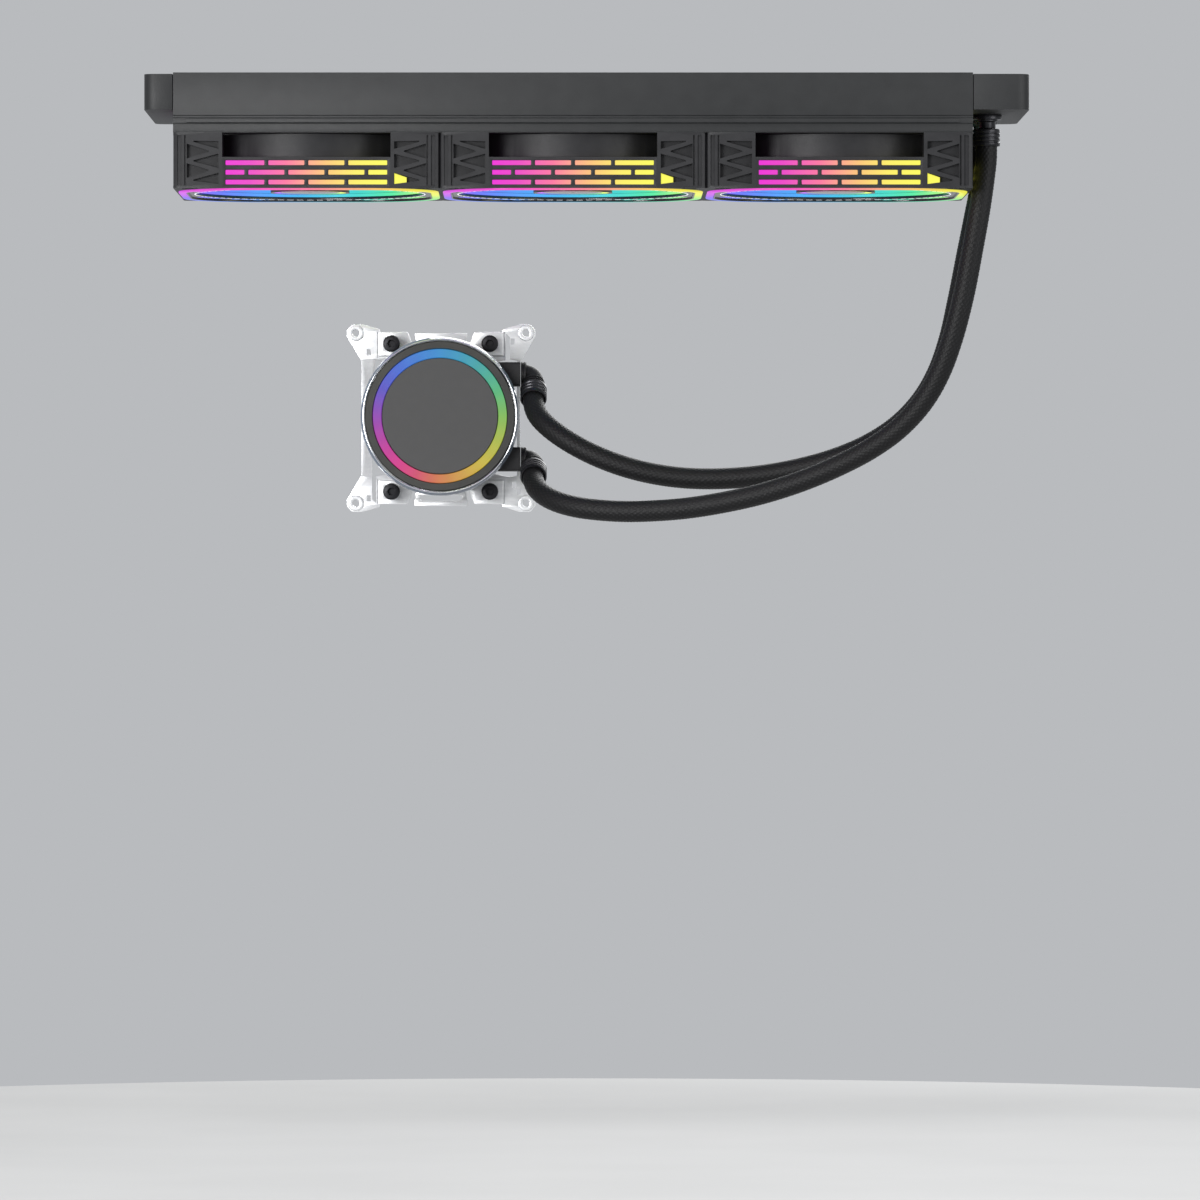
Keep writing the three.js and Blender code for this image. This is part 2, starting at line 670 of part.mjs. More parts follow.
// The cap's band: a dark bevelled ring whose skirt closes the body.
function pumpCap() {
  const [inner, seat, outer, skirtLow] = [31.4, 34, 35, 44.9];
  return turned([
    [seat, skirtLow], [outer, skirtLow], [outer, CAP_FACE], [inner, CAP_FACE], [inner, CAP_LOW],
    [seat, CAP_LOW], [seat, skirtLow],
  ], LARGE_SIDES);
}

function pumpLightRing() {
  return ring(27.2, 31.1, CAP_LOW, CAP_FACE + 0.2, LARGE_SIDES);
}

function centreDisc() {
  return disc(26.9, CAP_LOW, CAP_FACE, LARGE_SIDES);
}

function chromeRing() {
  return ring(35.2, CAP_RADIUS, 53.2, PUMP_HEIGHT, LARGE_SIDES);
}

function clearSkirt() {
  const [inner, wide, low, top] = [35.2, 37, 46.4, 52.9];
  return turned([[inner, low], [wide, low], [36.1, top], [inner, top], [inner, low]], LARGE_SIDES);
}

// One ear and the frame corner behind it, as an outline in the top right quarter.
function earShape(sx, sy) {
  const shape = new THREE.Shape();
  const turnBy = (angle) => Math.atan2(sy * Math.sin(angle), sx * Math.cos(angle));
  const clockwise = sx * sy > 0;
  const [barOuter, barInner, barRoot] = sx < 0 ? [37.4, 33.6, 31] : [37.2, 35.7, 33];
  shape.moveTo(sx * 14, sy * 40);
  shape.lineTo(sx * 29.4, sy * 40);
  shape.lineTo(sx * 30.2, sy * 41.8);
  shape.absarc(
    sx * EAR_REACH, sy * EAR_REACH, EAR_RADIUS,
    turnBy(THREE.MathUtils.degToRad(102)), turnBy(THREE.MathUtils.degToRad(-20)), clockwise,
  );
  shape.lineTo(sx * 37.4, sy * 26.4);
  shape.lineTo(sx * barOuter, sy * 24);
  shape.lineTo(sx * barOuter, 0);
  shape.lineTo(sx * barInner, 0);
  shape.lineTo(sx * barInner, sy * 6);
  shape.lineTo(sx * barRoot, sy * 29);
  shape.lineTo(sx * 14, sy * 29);
  shape.closePath();
  return shape;
}

function retentionBracket() {
  const [z0, z1] = [BRACKET_BACK, BRACKET_BACK + BRACKET_SHEET];
  const [hubInner, hubOuter] = [31.6, 35.2];
  const quarters = corners((sx, sy) => prism(earShape(sx, sy), z0, z1));
  const middleBars = [
    prism(polygon([[-12.4, 39.9], [12.4, 39.9], [11, 33], [-11, 33]]), z0, z1),
    block(-12.6, 12.6, -41.2, -38.8, z0, z1),
    block(-12.6, -9.9, -39, -33, z0, z1),
    block(9.9, 12.6, -39, -33, z0, z1),
    block(-11, 11, -36.2, -33, z0, z1),
  ];
  const hub = ring(hubInner, hubOuter, z0, z1, LARGE_SIDES);
  const hole = (radius, x, y) => disc(radius, z0 - 1, z1 + 1, HOLE_SIDES, x, y);
  const earHoles = corners((sx, sy) => hole(EAR_HOLE_RADIUS, sx * EAR_REACH, sy * EAR_REACH));
  const screwHoles = corners((sx, sy) => hole(SCREW_RADIUS + 0.5, sx * SCREW_X, sy * SCREW_Y));
  const slit = [[30.2, 25], [32.4, 25], [32.4, 37.6], [30.2, 39.2]];
  const keyHole = [[33.4, 34.6], [35, 34.6], [35, 36.8], [33.4, 36.8]];
  const opening = (points, sx, sy) => (
    prism(polygon(points.map(([x, y]) => [sx * x, sy * y])), z0 - 1, z1 + 1)
  );
  return cut(
    join(...quarters, ...middleBars, hub),
    disc(hubInner, z0 - 1, z1 + 1, LARGE_SIDES), ...earHoles, ...screwHoles,
    opening(slit, 1, 1), opening(slit, -1, -1), ...corners((sx, sy) => opening(keyHole, sx, sy)),
  );
}

// A captive screw: hex-socket head, shank, and the collar that keeps it in the bracket.
function springScrew() {
  const [collar, collarTop, tip] = [3, BRACKET_BACK - 0.3, -2];
  const collarLow = collarTop - 1.2;
  const screw = turned([
    [0, tip], [SCREW_RADIUS, tip], [SCREW_RADIUS, collarLow], [collar, collarLow],
    [collar, collarTop], [SCREW_RADIUS, collarTop], [SCREW_RADIUS, SCREW_HEAD_LOW],
    [SCREW_HEAD_RADIUS, SCREW_HEAD_LOW], [SCREW_HEAD_RADIUS, SCREW_HEAD_TOP], [0, SCREW_HEAD_TOP],
  ], SMALL_SIDES);
  const socket = disc(SCREW_RADIUS, SCREW_HEAD_TOP - 2.2, SCREW_HEAD_TOP + 1, 6);
  return cut(screw, socket);
}

class Helix extends THREE.Curve {
  constructor(radius, z0, z1, turns) {
    super();
    Object.assign(this, { radius, z0, z1, turns });
  }

  getPoint(t, target = new THREE.Vector3()) {
    const angle = 2 * Math.PI * this.turns * t;
    const z = this.z0 + (this.z1 - this.z0) * t;
    return target.set(this.radius * Math.cos(angle), this.radius * Math.sin(angle), z);
  }
}

function screwSpring() {
  const turns = 3.5;
  const low = BRACKET_BACK + BRACKET_SHEET + SPRING_WIRE + GAP;
  const path = new Helix(SPRING_RADIUS, low, SCREW_HEAD_LOW - SPRING_WIRE - GAP, turns);
  return pipe(circleShape(SPRING_WIRE, 4), path, 24);
}

function addPump(group) {
  const pump = new THREE.Group();
  pump.position.set(PUMP_X, CONTACT_Y, PUMP_Z);
  pump.rotation.x = Math.PI / 2;
  pump.add(piece('cold_plate', coldPlate(), copper));
  pump.add(piece('plate_gasket', plateGasket(), rubber));
  pump.add(piece('pump_body', pumpBody(), blackPlastic));
  pump.add(piece('jet_plate', jetPlate(), milkPlastic));
  pump.add(piece('impeller', impeller(), blackPlastic));
  pump.add(piece('impeller_shaft', impellerShaft(), ceramic));
  pump.add(piece('pump_stator', pumpStator(), winding));
  pump.add(piece('motor_board', motorBoard(), boardGreen));
  pump.add(piece('light_board', lightBoard(), boardGreen));
  pump.add(piece('cap_band', pumpCap(), smokePlastic));
  pump.add(piece('cap_light_ring', pumpLightRing(), lightPlastic));
  pump.add(piece('cap_disc', centreDisc(), smokePlastic));
  pump.add(piece('cap_chrome_ring', chromeRing(), chrome));
  pump.add(piece('cap_clear_skirt', clearSkirt(), clearPlastic));
  pump.add(piece('retention_bracket', retentionBracket(), steel));
  corners((sx, sy) => [sx, sy]).forEach(([sx, sy], i) => {
    const place = new THREE.Group();
    place.position.set(sx * SCREW_X, sy * SCREW_Y, 0);
    place.add(piece(`spring_screw_${i + 1}`, springScrew(), blackPaint));
    place.add(piece(`screw_spring_${i + 1}`, screwSpring(), steel));
    pump.add(place);
  });
  group.add(pump);
}

// ---- Elbows, ferrules and hoses ----

// A swivel elbow: a grooved collar on the port, then a quarter bend to a short straight leg.
function elbow() {
  const bend = 5;
  const [run, leg] = [ELBOW_RUN, ELBOW_LEG];
  const [tube, collarRadius] = [4.6, 5.8];
  const path = new THREE.CurvePath();
  const point = (x, z) => new THREE.Vector3(x, 0, z);
  path.add(new THREE.LineCurve3(point(0, 0), point(run - bend, 0)));
  path.add(new THREE.QuadraticBezierCurve3(point(run - bend, 0), point(run, 0), point(run, -bend)));
  path.add(new THREE.LineCurve3(point(run, -bend), point(run, -leg)));
  const collar = disc(collarRadius, 0, 2.6, SMALL_SIDES).rotateY(Math.PI / 2);
  const outside = join(pipe(circleShape(tube, SMALL_SIDES), path, 6), collar);
  const bore = pipe(circleShape(ELBOW_BORE, 6), path, 6);
  const entry = disc(ELBOW_BORE, -1, 0.5, 6).rotateY(Math.PI / 2);
  return cut(outside, bore, entry, disc(ELBOW_BORE, -leg - 1, -leg + 1, 6, run, 0));
}

function addElbow(group, name, y, swivel) {
  const place = new THREE.Group();
  place.position.set(PUMP_X + PORT_REACH + GAP, CONTACT_Y - PORT_HEIGHT, PUMP_Z + y);
  place.rotation.x = THREE.MathUtils.degToRad(-swivel);
  place.add(piece(`${name}_elbow`, elbow(), blackPlastic));
  place.add(piece(`${name}_ferrule`, ferrule().translate(ELBOW_RUN, 0, -ELBOW_LEG - 0.3), blackPaint));
  group.add(place);
}

function hose(route) {
  const points = route.map((point) => new THREE.Vector3(...point));
  const curve = new THREE.CatmullRomCurve3(points, false, 'centripetal');
  return pipe(circleShape(HOSE_RADIUS, HOSE_SIDES), curve, HOSE_STEPS);
}

// ---- Assembly ----

const cooler = new THREE.Group();
cooler.name = 'liquid_cooler';
cooler.add(piece('radiator_core', radiatorCore(), finMetal));
cooler.add(piece('front_rail', rail(-1), blackPaint));
cooler.add(piece('back_rail', rail(1), blackPaint));
cooler.add(piece('hose_tank', hoseTank(), blackPaint));
cooler.add(piece('return_tank', returnTank(), blackPaint));
cooler.add(piece('fill_plug', fillPlug(), blackPaint));
for (const [side, y] of [['front', -BARB_Y], ['back', BARB_Y]]) {
  cooler.add(piece(`${side}_radiator_barb`, radiatorBarb(y), blackPaint));
  const cup = ferrule().translate(BARB_X, y, FERRULE_TOP);
  cooler.add(piece(`${side}_radiator_ferrule`, cup, blackPaint));
}
for (let index = 0; index < FAN_COUNT; index += 1) addFan(cooler, index);
addPump(cooler);
addElbow(cooler, 'upper', PORT_SPREAD, UPPER_SWIVEL);
addElbow(cooler, 'lower', -PORT_SPREAD, LOWER_SWIVEL);
cooler.add(piece('upper_hose', hose(UPPER_HOSE_ROUTE), sleeve));
cooler.add(piece('lower_hose', hose(LOWER_HOSE_ROUTE), sleeve));

export default cooler;
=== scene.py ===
"""The looks of a sealed liquid cooler: a radiator with three lit fans under it, two sleeved hoses,
and a round lit pump head in a steel bracket.

Shapes are drawn in millimetres. A fan's parts are drawn about the fan's own centre, with Z = 0 on
the radiator side and the lit face at the bottom. The pump's parts are drawn with X to the right, Y
up and Z towards the lit cap, from the cold plate's contact face. Everything else is drawn in the
frame of the CAD model.
"""

import math

import bmesh
import bpy
from mathutils import Matrix, Vector


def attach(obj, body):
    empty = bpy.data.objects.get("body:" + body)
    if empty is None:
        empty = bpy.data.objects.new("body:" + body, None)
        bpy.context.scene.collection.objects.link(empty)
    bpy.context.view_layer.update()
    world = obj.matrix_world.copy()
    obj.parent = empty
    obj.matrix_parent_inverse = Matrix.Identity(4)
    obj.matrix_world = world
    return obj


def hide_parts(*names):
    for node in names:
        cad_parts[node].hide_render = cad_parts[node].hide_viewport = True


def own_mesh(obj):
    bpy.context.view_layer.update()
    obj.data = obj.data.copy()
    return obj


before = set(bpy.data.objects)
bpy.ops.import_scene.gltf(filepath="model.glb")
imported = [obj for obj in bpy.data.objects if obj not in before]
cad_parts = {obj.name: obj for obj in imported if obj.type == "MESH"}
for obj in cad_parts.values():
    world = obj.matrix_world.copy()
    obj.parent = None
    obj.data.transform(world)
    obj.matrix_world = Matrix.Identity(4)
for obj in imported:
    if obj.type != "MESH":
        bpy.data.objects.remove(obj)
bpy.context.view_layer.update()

MM = 0.001
TURN = 2 * math.pi
QUARTERS = [index * TURN / 4 for index in range(4)]
CORNERS = [(1, 1), (-1, 1), (-1, -1), (1, -1)]


def at(x=0.0, y=0.0, z=0.0):
    """A place in millimetres, as a matrix in metres."""
    return Matrix.Translation(Vector((x, y, z)) * MM)


# ---- Driving dimensions, in millimetres ----

FAN_COUNT = 3
FAN_HALF = 60.0
FAN_DEPTH = 25.0
FAN_HOLE = 52.5
DUCT_INNER = 54.2
DUCT_OUTER = 56.2
FACE_OPENING = 52.0
FLOOR_TOP = -22.2
POCKET_TOP = -23.6
SIDE_SHEET = 1.6
SIDE_PLATE_TOP = -11.0
POST_START = 37.9
TRUSS_END = 54.1
SCREW_SEAT = -22.9
HUB_RADIUS = 18.0
BLADES = 9
RADIATOR_HALF = 180.0
RADIATOR_DEPTH = 27.0
TUBES = 13
TUBE_PITCH = 9.0
CORE_TOP = -1.2
CORE_LOW = -17.0
TANK_GAP = 0.2
TANK_LENGTH = 25.4
RETURN_LENGTH = 13.0
TANK_MIDDLE = -8.6
FILL_Y = 30.0
BARB_X = 188.0
BARB_Y = 18.0
HOSE_RADIUS = 5.0
PUMP_X, PUMP_Y, PUMP_Z = -61.7, 124.0, -151.5
PORT_SPREAD = 19.8
PORT_HEIGHT = 37.0
PORT_REACH = 37.4
PORT_BORE = 2.6
ELBOW_RUN = 5.9
ELBOW_LEG = 9.0
BRACKET_BACK = 9.1
BRACKET_FRONT = 11.1
EAR_REACH = 39.9
SCREW_X = 23.0
SCREW_Y = 34.6

PUMP_PLACE = at(PUMP_X, PUMP_Y, PUMP_Z) @ Matrix.Rotation(TURN / 4, 4, "X")
FAN_CENTRES = [(index - 1) * 2 * FAN_HALF for index in range(FAN_COUNT)]

# The hoses' centre lines, from the pump to the radiator, in metres.
UPPER_HOSE_ROUTE = [
    (-0.0182, 0.0795, -0.1392), (-0.0182, 0.0749, -0.1438), (-0.0177, 0.0708, -0.1476),
    (-0.0159, 0.0664, -0.1516), (-0.0122, 0.0622, -0.1558), (-0.0066, 0.0586, -0.1604),
    (0.0010, 0.0556, -0.1653), (0.0110, 0.0534, -0.1704), (0.0230, 0.0520, -0.1750),
    (0.0365, 0.0509, -0.1785), (0.0515, 0.0496, -0.1806), (0.0680, 0.0478, -0.1810),
    (0.0860, 0.0452, -0.1797), (0.1050, 0.0418, -0.1764), (0.1225, 0.0380, -0.1714),
    (0.1375, 0.0342, -0.1648), (0.1500, 0.0304, -0.1564), (0.1600, 0.0269, -0.1458),
    (0.1672, 0.0240, -0.1336), (0.1726, 0.0216, -0.1184), (0.1768, 0.0197, -0.0996),
    (0.1808, 0.0185, -0.0790), (0.1842, 0.0180, -0.0620), (0.1867, 0.0180, -0.0490),
    (0.1878, 0.0180, -0.0390), (0.1880, 0.0180, -0.0310), (0.1880, 0.0180, -0.0246),
]
LOWER_HOSE_ROUTE = [
    (-0.0182, 0.0778, -0.1766), (-0.0182, 0.0722, -0.17985), (-0.0178, 0.0670, -0.1827),
    (-0.0161, 0.0610, -0.1858), (-0.0124, 0.0550, -0.1890), (-0.0064, 0.0496, -0.1919),
    (0.0020, 0.0449, -0.1942), (0.0125, 0.0412, -0.1956), (0.0245, 0.0382, -0.1963),
    (0.0380, 0.0354, -0.1960), (0.0530, 0.0322, -0.1948), (0.0695, 0.0282, -0.1922),
    (0.0870, 0.0234, -0.1883), (0.1055, 0.0178, -0.1824), (0.1230, 0.0118, -0.1750),
    (0.1375, 0.0062, -0.1672), (0.1496, 0.0010, -0.1582), (0.1598, -0.0038, -0.1468),
    (0.1672, -0.0080, -0.1338), (0.1730, -0.0118, -0.1176), (0.1780, -0.0149, -0.0978),
    (0.1818, -0.0169, -0.0776), (0.1849, -0.0178, -0.0600), (0.1869, -0.0180, -0.0460),
    (0.1879, -0.0180, -0.0370), (0.1880, -0.0180, -0.0310), (0.1880, -0.0180, -0.0246),
]

# ---- Camera ----


def add_camera():
    """A long lens straight at the side, a little below the fans' lit faces."""
    data = bpy.data.cameras.new("camera")
    data.sensor_width = 36.0
    data.lens = 266.7
    data.shift_x = 1 / 30
    data.shift_y = 7 / 300
    data.clip_end = 100.0
    camera = bpy.data.objects.new("camera", data)
    camera.location = (-0.00585, -4.06, -0.25)
    camera.rotation_euler = (math.pi / 2, 0, 0)
    bpy.context.scene.collection.objects.link(camera)
    bpy.context.scene.camera = camera


add_camera()

# ---- Shapes: a shape is a list of vertices and a list of faces, in millimetres ----


def lathe(profile, sides=72):
    """(radius, height) points turned about Z. The profile ends on the axis or closes on itself."""
    vertices, rings = [], []
    for radius, height in profile:
        first = len(vertices)
        if radius < 1e-6:
            vertices.append((0, 0, height))
            rings.append([first] * sides)
            continue
        vertices += [
            (radius * math.cos(k * TURN / sides), radius * math.sin(k * TURN / sides), height)
            for k in range(sides)
        ]
        rings.append(list(range(first, first + sides)))
    pairs = list(zip(rings, rings[1:]))
    if profile[0][0] > 1e-6:
        pairs.append((rings[-1], rings[0]))
    faces = []
    for a, b in pairs:
        for k in range(sides):
            n = (k + 1) % sides
            corners = list(dict.fromkeys([a[k], a[n], b[n], b[k]]))
            if len(corners) > 2:
                faces.append(corners)
    return vertices, faces


def fillet(points, radius, steps=3, closed=True):
    """The same outline with its corners rounded."""
    rounded = []
    for i, point in enumerate(points):
        here = Vector(point)
        if not closed and i in (0, len(points) - 1):
            rounded.append(tuple(here))
            continue
        before = Vector(points[i - 1]) - here
        after = Vector(points[(i + 1) % len(points)]) - here
        bend = before.angle(after)
        if bend > math.radians(176):
            rounded.append(tuple(here))
            continue
        reach = min(radius / math.tan(bend / 2), 0.45 * before.length, 0.45 * after.length)
        start = here + before.normalized() * reach
        end = here + after.normalized() * reach
        for step in range(steps + 1):
            share = step / steps
            rounded.append(tuple(start.lerp(here, share).lerp(here.lerp(end, share), share)))
    return rounded


def circle(radius, sides, x=0.0, y=0.0):
    angles = [k * TURN / sides for k in range(sides)]
    return [(x + radius * math.cos(a), y + radius * math.sin(a)) for a in angles]


def rectangle(x0, x1, y0, y1):
    return [(x0, y0), (x1, y0), (x1, y1), (x0, y1)]


def flipped(points, sx, sy):
    return [(sx * x, sy * y) for x, y in points]


def rounded_square(size, corner, steps=10):
    reach = size / 2 - corner
    points = []
    for quarter, (sx, sy) in enumerate(CORNERS):
        for step in range(steps + 1):
            angle = (quarter + step / steps) * TURN / 4
            points.append((sx * reach + corner * math.cos(angle), sy * reach + corner * math.sin(angle)))
    return points


def area(outline):
    return sum(a[0] * b[1] - b[0] * a[1] for a, b in zip(outline, outline[1:] + outline[:1])) / 2


def drum(radius, z0, z1, sides):
    return lathe(rectangle(0, radius, z0, z1), sides)


def extrude(outline, z0, z1):
    count = len(outline)
    vertices = [(x, y, z0) for x, y in outline] + [(x, y, z1) for x, y in outline]
    faces = [list(range(count))[::-1], list(range(count, 2 * count))]
    faces += [[k, (k + 1) % count, count + (k + 1) % count, count + k] for k in range(count)]
    return vertices, faces


def plate(outline, holes, z0, z1, bevel=0.2):
    """A flat plate with holes through it and rounded edges."""
    data = bpy.data.curves.new("plate", "CURVE")
    data.dimensions = "2D"
    data.fill_mode = "BOTH"
    data.extrude = (z1 - z0) / 2 - bevel
    data.bevel_depth = bevel
    data.bevel_resolution = 1
    data.offset = -bevel
    for points, outward in [(outline, 1), *[(hole, -1) for hole in holes]]:
        points = points if area(points) * outward > 0 else points[::-1]
        spline = data.splines.new("POLY")
        spline.points.add(len(points) - 1)
        for place, (x, y) in zip(spline.points, points):
            place.co = (x, y, 0, 1)
        spline.use_cyclic_u = True
    source = bpy.data.objects.new("plate", data)
    bpy.context.scene.collection.objects.link(source)
    shape = evaluated(source)
    bpy.data.objects.remove(source)
    return moved(shape, Matrix.Translation((0, 0, (z0 + z1) / 2)))


def evaluated(source):
    mesh = bpy.data.meshes.new_from_object(source.evaluated_get(bpy.context.evaluated_depsgraph_get()))
    shape = [tuple(v.co) for v in mesh.vertices], [list(p.vertices) for p in mesh.polygons]
    bpy.data.meshes.remove(mesh)
    return shape


def bar_along_x(section, x0, x1):
    """A section drawn in Y and Z, drawn out from x0 to x1."""
    upright = Matrix(((0, 0, 1, 0), (1, 0, 0, 0), (0, 1, 0, 0), (0, 0, 0, 1)))
    return moved(extrude(section, x0, x1), upright)


def block(x0, x1, y0, y1, z0, z1):
    return extrude(rectangle(x0, x1, y0, y1), z0, z1)


def moved(shape, matrix):
    return [tuple(matrix @ Vector(v)) for v in shape[0]], shape[1]


def turned(shape, angle, axis="Z"):
    return moved(shape, Matrix.Rotation(angle, 4, axis))


def shifted(shape, x=0.0, y=0.0, z=0.0):
    return moved(shape, Matrix.Translation((x, y, z)))


def at_corners(shape, reach, z=0.0):
    """Four copies of a shape, at the corners of a square about the middle."""
    return [shifted(shape, sx * reach, sy * reach, z) for sx, sy in CORNERS]


def merged(shapes):
    vertices, faces = [], []
    for more, corners in shapes:
        first = len(vertices)
        vertices += more
        faces += [[first + k for k in face] for face in corners]
    return vertices, faces


def tube_faces(rings, sides):
    """The faces of a closed skin over rings of vertices that follow one another."""
    faces = []
    for i in range(rings - 1):
        for k in range(sides):
            n = (k + 1) % sides
            faces.append([i * sides + k, i * sides + n, (i + 1) * sides + n, (i + 1) * sides + k])
    last = (rings - 1) * sides
    return faces + [list(range(sides))[::-1], list(range(last, last + sides))]


def sweep(points, radius, sides):
    """A round bar along a line of points."""
    line = [Vector(p) for p in points]
    vertices = []
    for centre, normal, side in frames_along(line):
        for k in range(sides):
            angle = k * TURN / sides
            offset = normal * math.cos(angle) + side * math.sin(angle)
            vertices.append(tuple(centre + offset * radius))
    return vertices, tube_faces(len(line), sides)


def frames_along(line):
    """Each point of a line with two directions across it that turn as little as they can."""
    tangents = []
    for i in range(len(line)):
        tangents.append((line[min(i + 1, len(line) - 1)] - line[max(i - 1, 0)]).normalized())
    normal = tangents[0].orthogonal().normalized()
    found = []
    for centre, tangent in zip(line, tangents):
        normal = (normal - tangent * normal.dot(tangent)).normalized()
        found.append((centre, normal, tangent.cross(normal)))
    return found


def catmull_rom(points, steps):
    """A smooth line through the points: the centripetal curve that the CAD hoses follow."""
    knots = [Vector(p) for p in points]
    knots = [knots[0] * 2 - knots[1], *knots, knots[-1] * 2 - knots[-2]]
    line = []
    for i in range(1, len(knots) - 2):
        p0, p1, p2, p3 = knots[i - 1:i + 3]
        d0, d1, d2 = [(b - a).length ** 0.5 for a, b in ((p0, p1), (p1, p2), (p2, p3))]
        t1 = ((p1 - p0) / d0 - (p2 - p0) / (d0 + d1) + (p2 - p1) / d1) * d1
        t2 = ((p2 - p1) / d1 - (p3 - p1) / (d1 + d2) + (p3 - p2) / d2) * d1
        square = p2 * 3 - p1 * 3 - t1 * 2 - t2
        cube = p1 * 2 - p2 * 2 + t1 + t2
        for step in range(steps):
            t = step / steps
            line.append(p1 + t1 * t + square * t ** 2 + cube * t ** 3)
    line.append(knots[-2])
    return line


def spaced(line, step):
    """The same line with its points the same distance apart."""
    lengths = [0.0]
    for a, b in zip(line, line[1:]):
        lengths.append(lengths[-1] + (b - a).length)
    count = max(2, round(lengths[-1] / step))
    found, k = [], 0
    for i in range(count + 1):
        want = lengths[-1] * i / count
        while k < len(line) - 2 and lengths[k + 1] < want:
            k += 1
        share = (want - lengths[k]) / (lengths[k + 1] - lengths[k])
        found.append(line[k].lerp(line[k + 1], min(1.0, share)))
    return found, lengths[-1]


def temporary(shape):
    mesh = bpy.data.meshes.new("temporary")
    mesh.from_pydata(shape[0], [], shape[1])
    clean = bmesh.new()
    clean.from_mesh(mesh)
    bmesh.ops.remove_doubles(clean, verts=clean.verts, dist=1e-4)
    bmesh.ops.recalc_face_normals(clean, faces=clean.faces)
    clean.to_mesh(mesh)
    clean.free()
    thing = bpy.data.objects.new("temporary", mesh)
    bpy.context.scene.collection.objects.link(thing)
    return thing


def combined(base, tools, operation):
    """Closed shapes joined to a base, or cut from it, as one closed shape."""
    things = [temporary(shape) for shape in [base, *tools]]
    for tool in things[1:]:
        modifier = things[0].modifiers.new("combine", "BOOLEAN")
        modifier.operation = operation
        modifier.solver = "MANIFOLD"
        modifier.object = tool
    shape = evaluated(things[0])
    for thing in things:
        bpy.data.objects.remove(thing)
    return shape


def joined(*shapes):
    return combined(shapes[0], shapes[1:], "UNION")


def cut(base, *tools):
    return combined(base, tools, "DIFFERENCE")


def mesh_of(shape, bevel=0.0, segments=2, sharp=35.0):
    """A shape as a mesh in metres, with its edges bevelled and its curved faces smooth."""
    mesh = bpy.data.meshes.new("piece")
    mesh.from_pydata(shape[0], [], shape[1])
    work = bmesh.new()
    work.from_mesh(mesh)
    bmesh.ops.remove_doubles(work, verts=work.verts, dist=1e-3)
    bmesh.ops.recalc_face_normals(work, faces=work.faces)
    if bevel:
        bmesh.ops.dissolve_limit(
            work, angle_limit=math.radians(0.6), verts=work.verts, edges=work.edges
        )
        edges = [
            e for e in work.edges
            if len(e.link_faces) == 2 and e.calc_face_angle() > math.radians(28)
        ]
        bmesh.ops.bevel(
            work, geom=edges, offset=bevel, segments=segments, profile=0.5, affect="EDGES",
            clamp_overlap=True,
        )
    bmesh.ops.scale(work, vec=(MM, MM, MM), verts=work.verts)
    work.to_mesh(mesh)
    work.free()
    mesh.polygons.foreach_set("use_smooth", [True] * len(mesh.polygons))
    mesh.set_sharp_from_angle(angle=math.radians(sharp))
    return mesh


def put(name, mesh, material, body="cooler", place=Matrix(), replaces=()):
    """Makes a piece from a mesh, in its place, riding on its body."""
    mesh = mesh.copy()
    mesh.name = name
    mesh.materials.clear()
    mesh.materials.append(material)
    piece = bpy.data.objects.new(name, mesh)
    bpy.context.scene.collection.objects.link(piece)
    piece.matrix_world = place
    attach(piece, body)
    if replaces:
        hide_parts(*replaces)
    return piece


# ---- Materials ----


def rgb(code):
    """A colour such as 4090E0 as linear values."""
    parts = [int(code[k:k + 2], 16) / 255 for k in (0, 2, 4)]
    return tuple(c / 12.92 if c <= 0.04045 else ((c + 0.055) / 1.055) ** 2.4 for c in parts) + (1.0,)


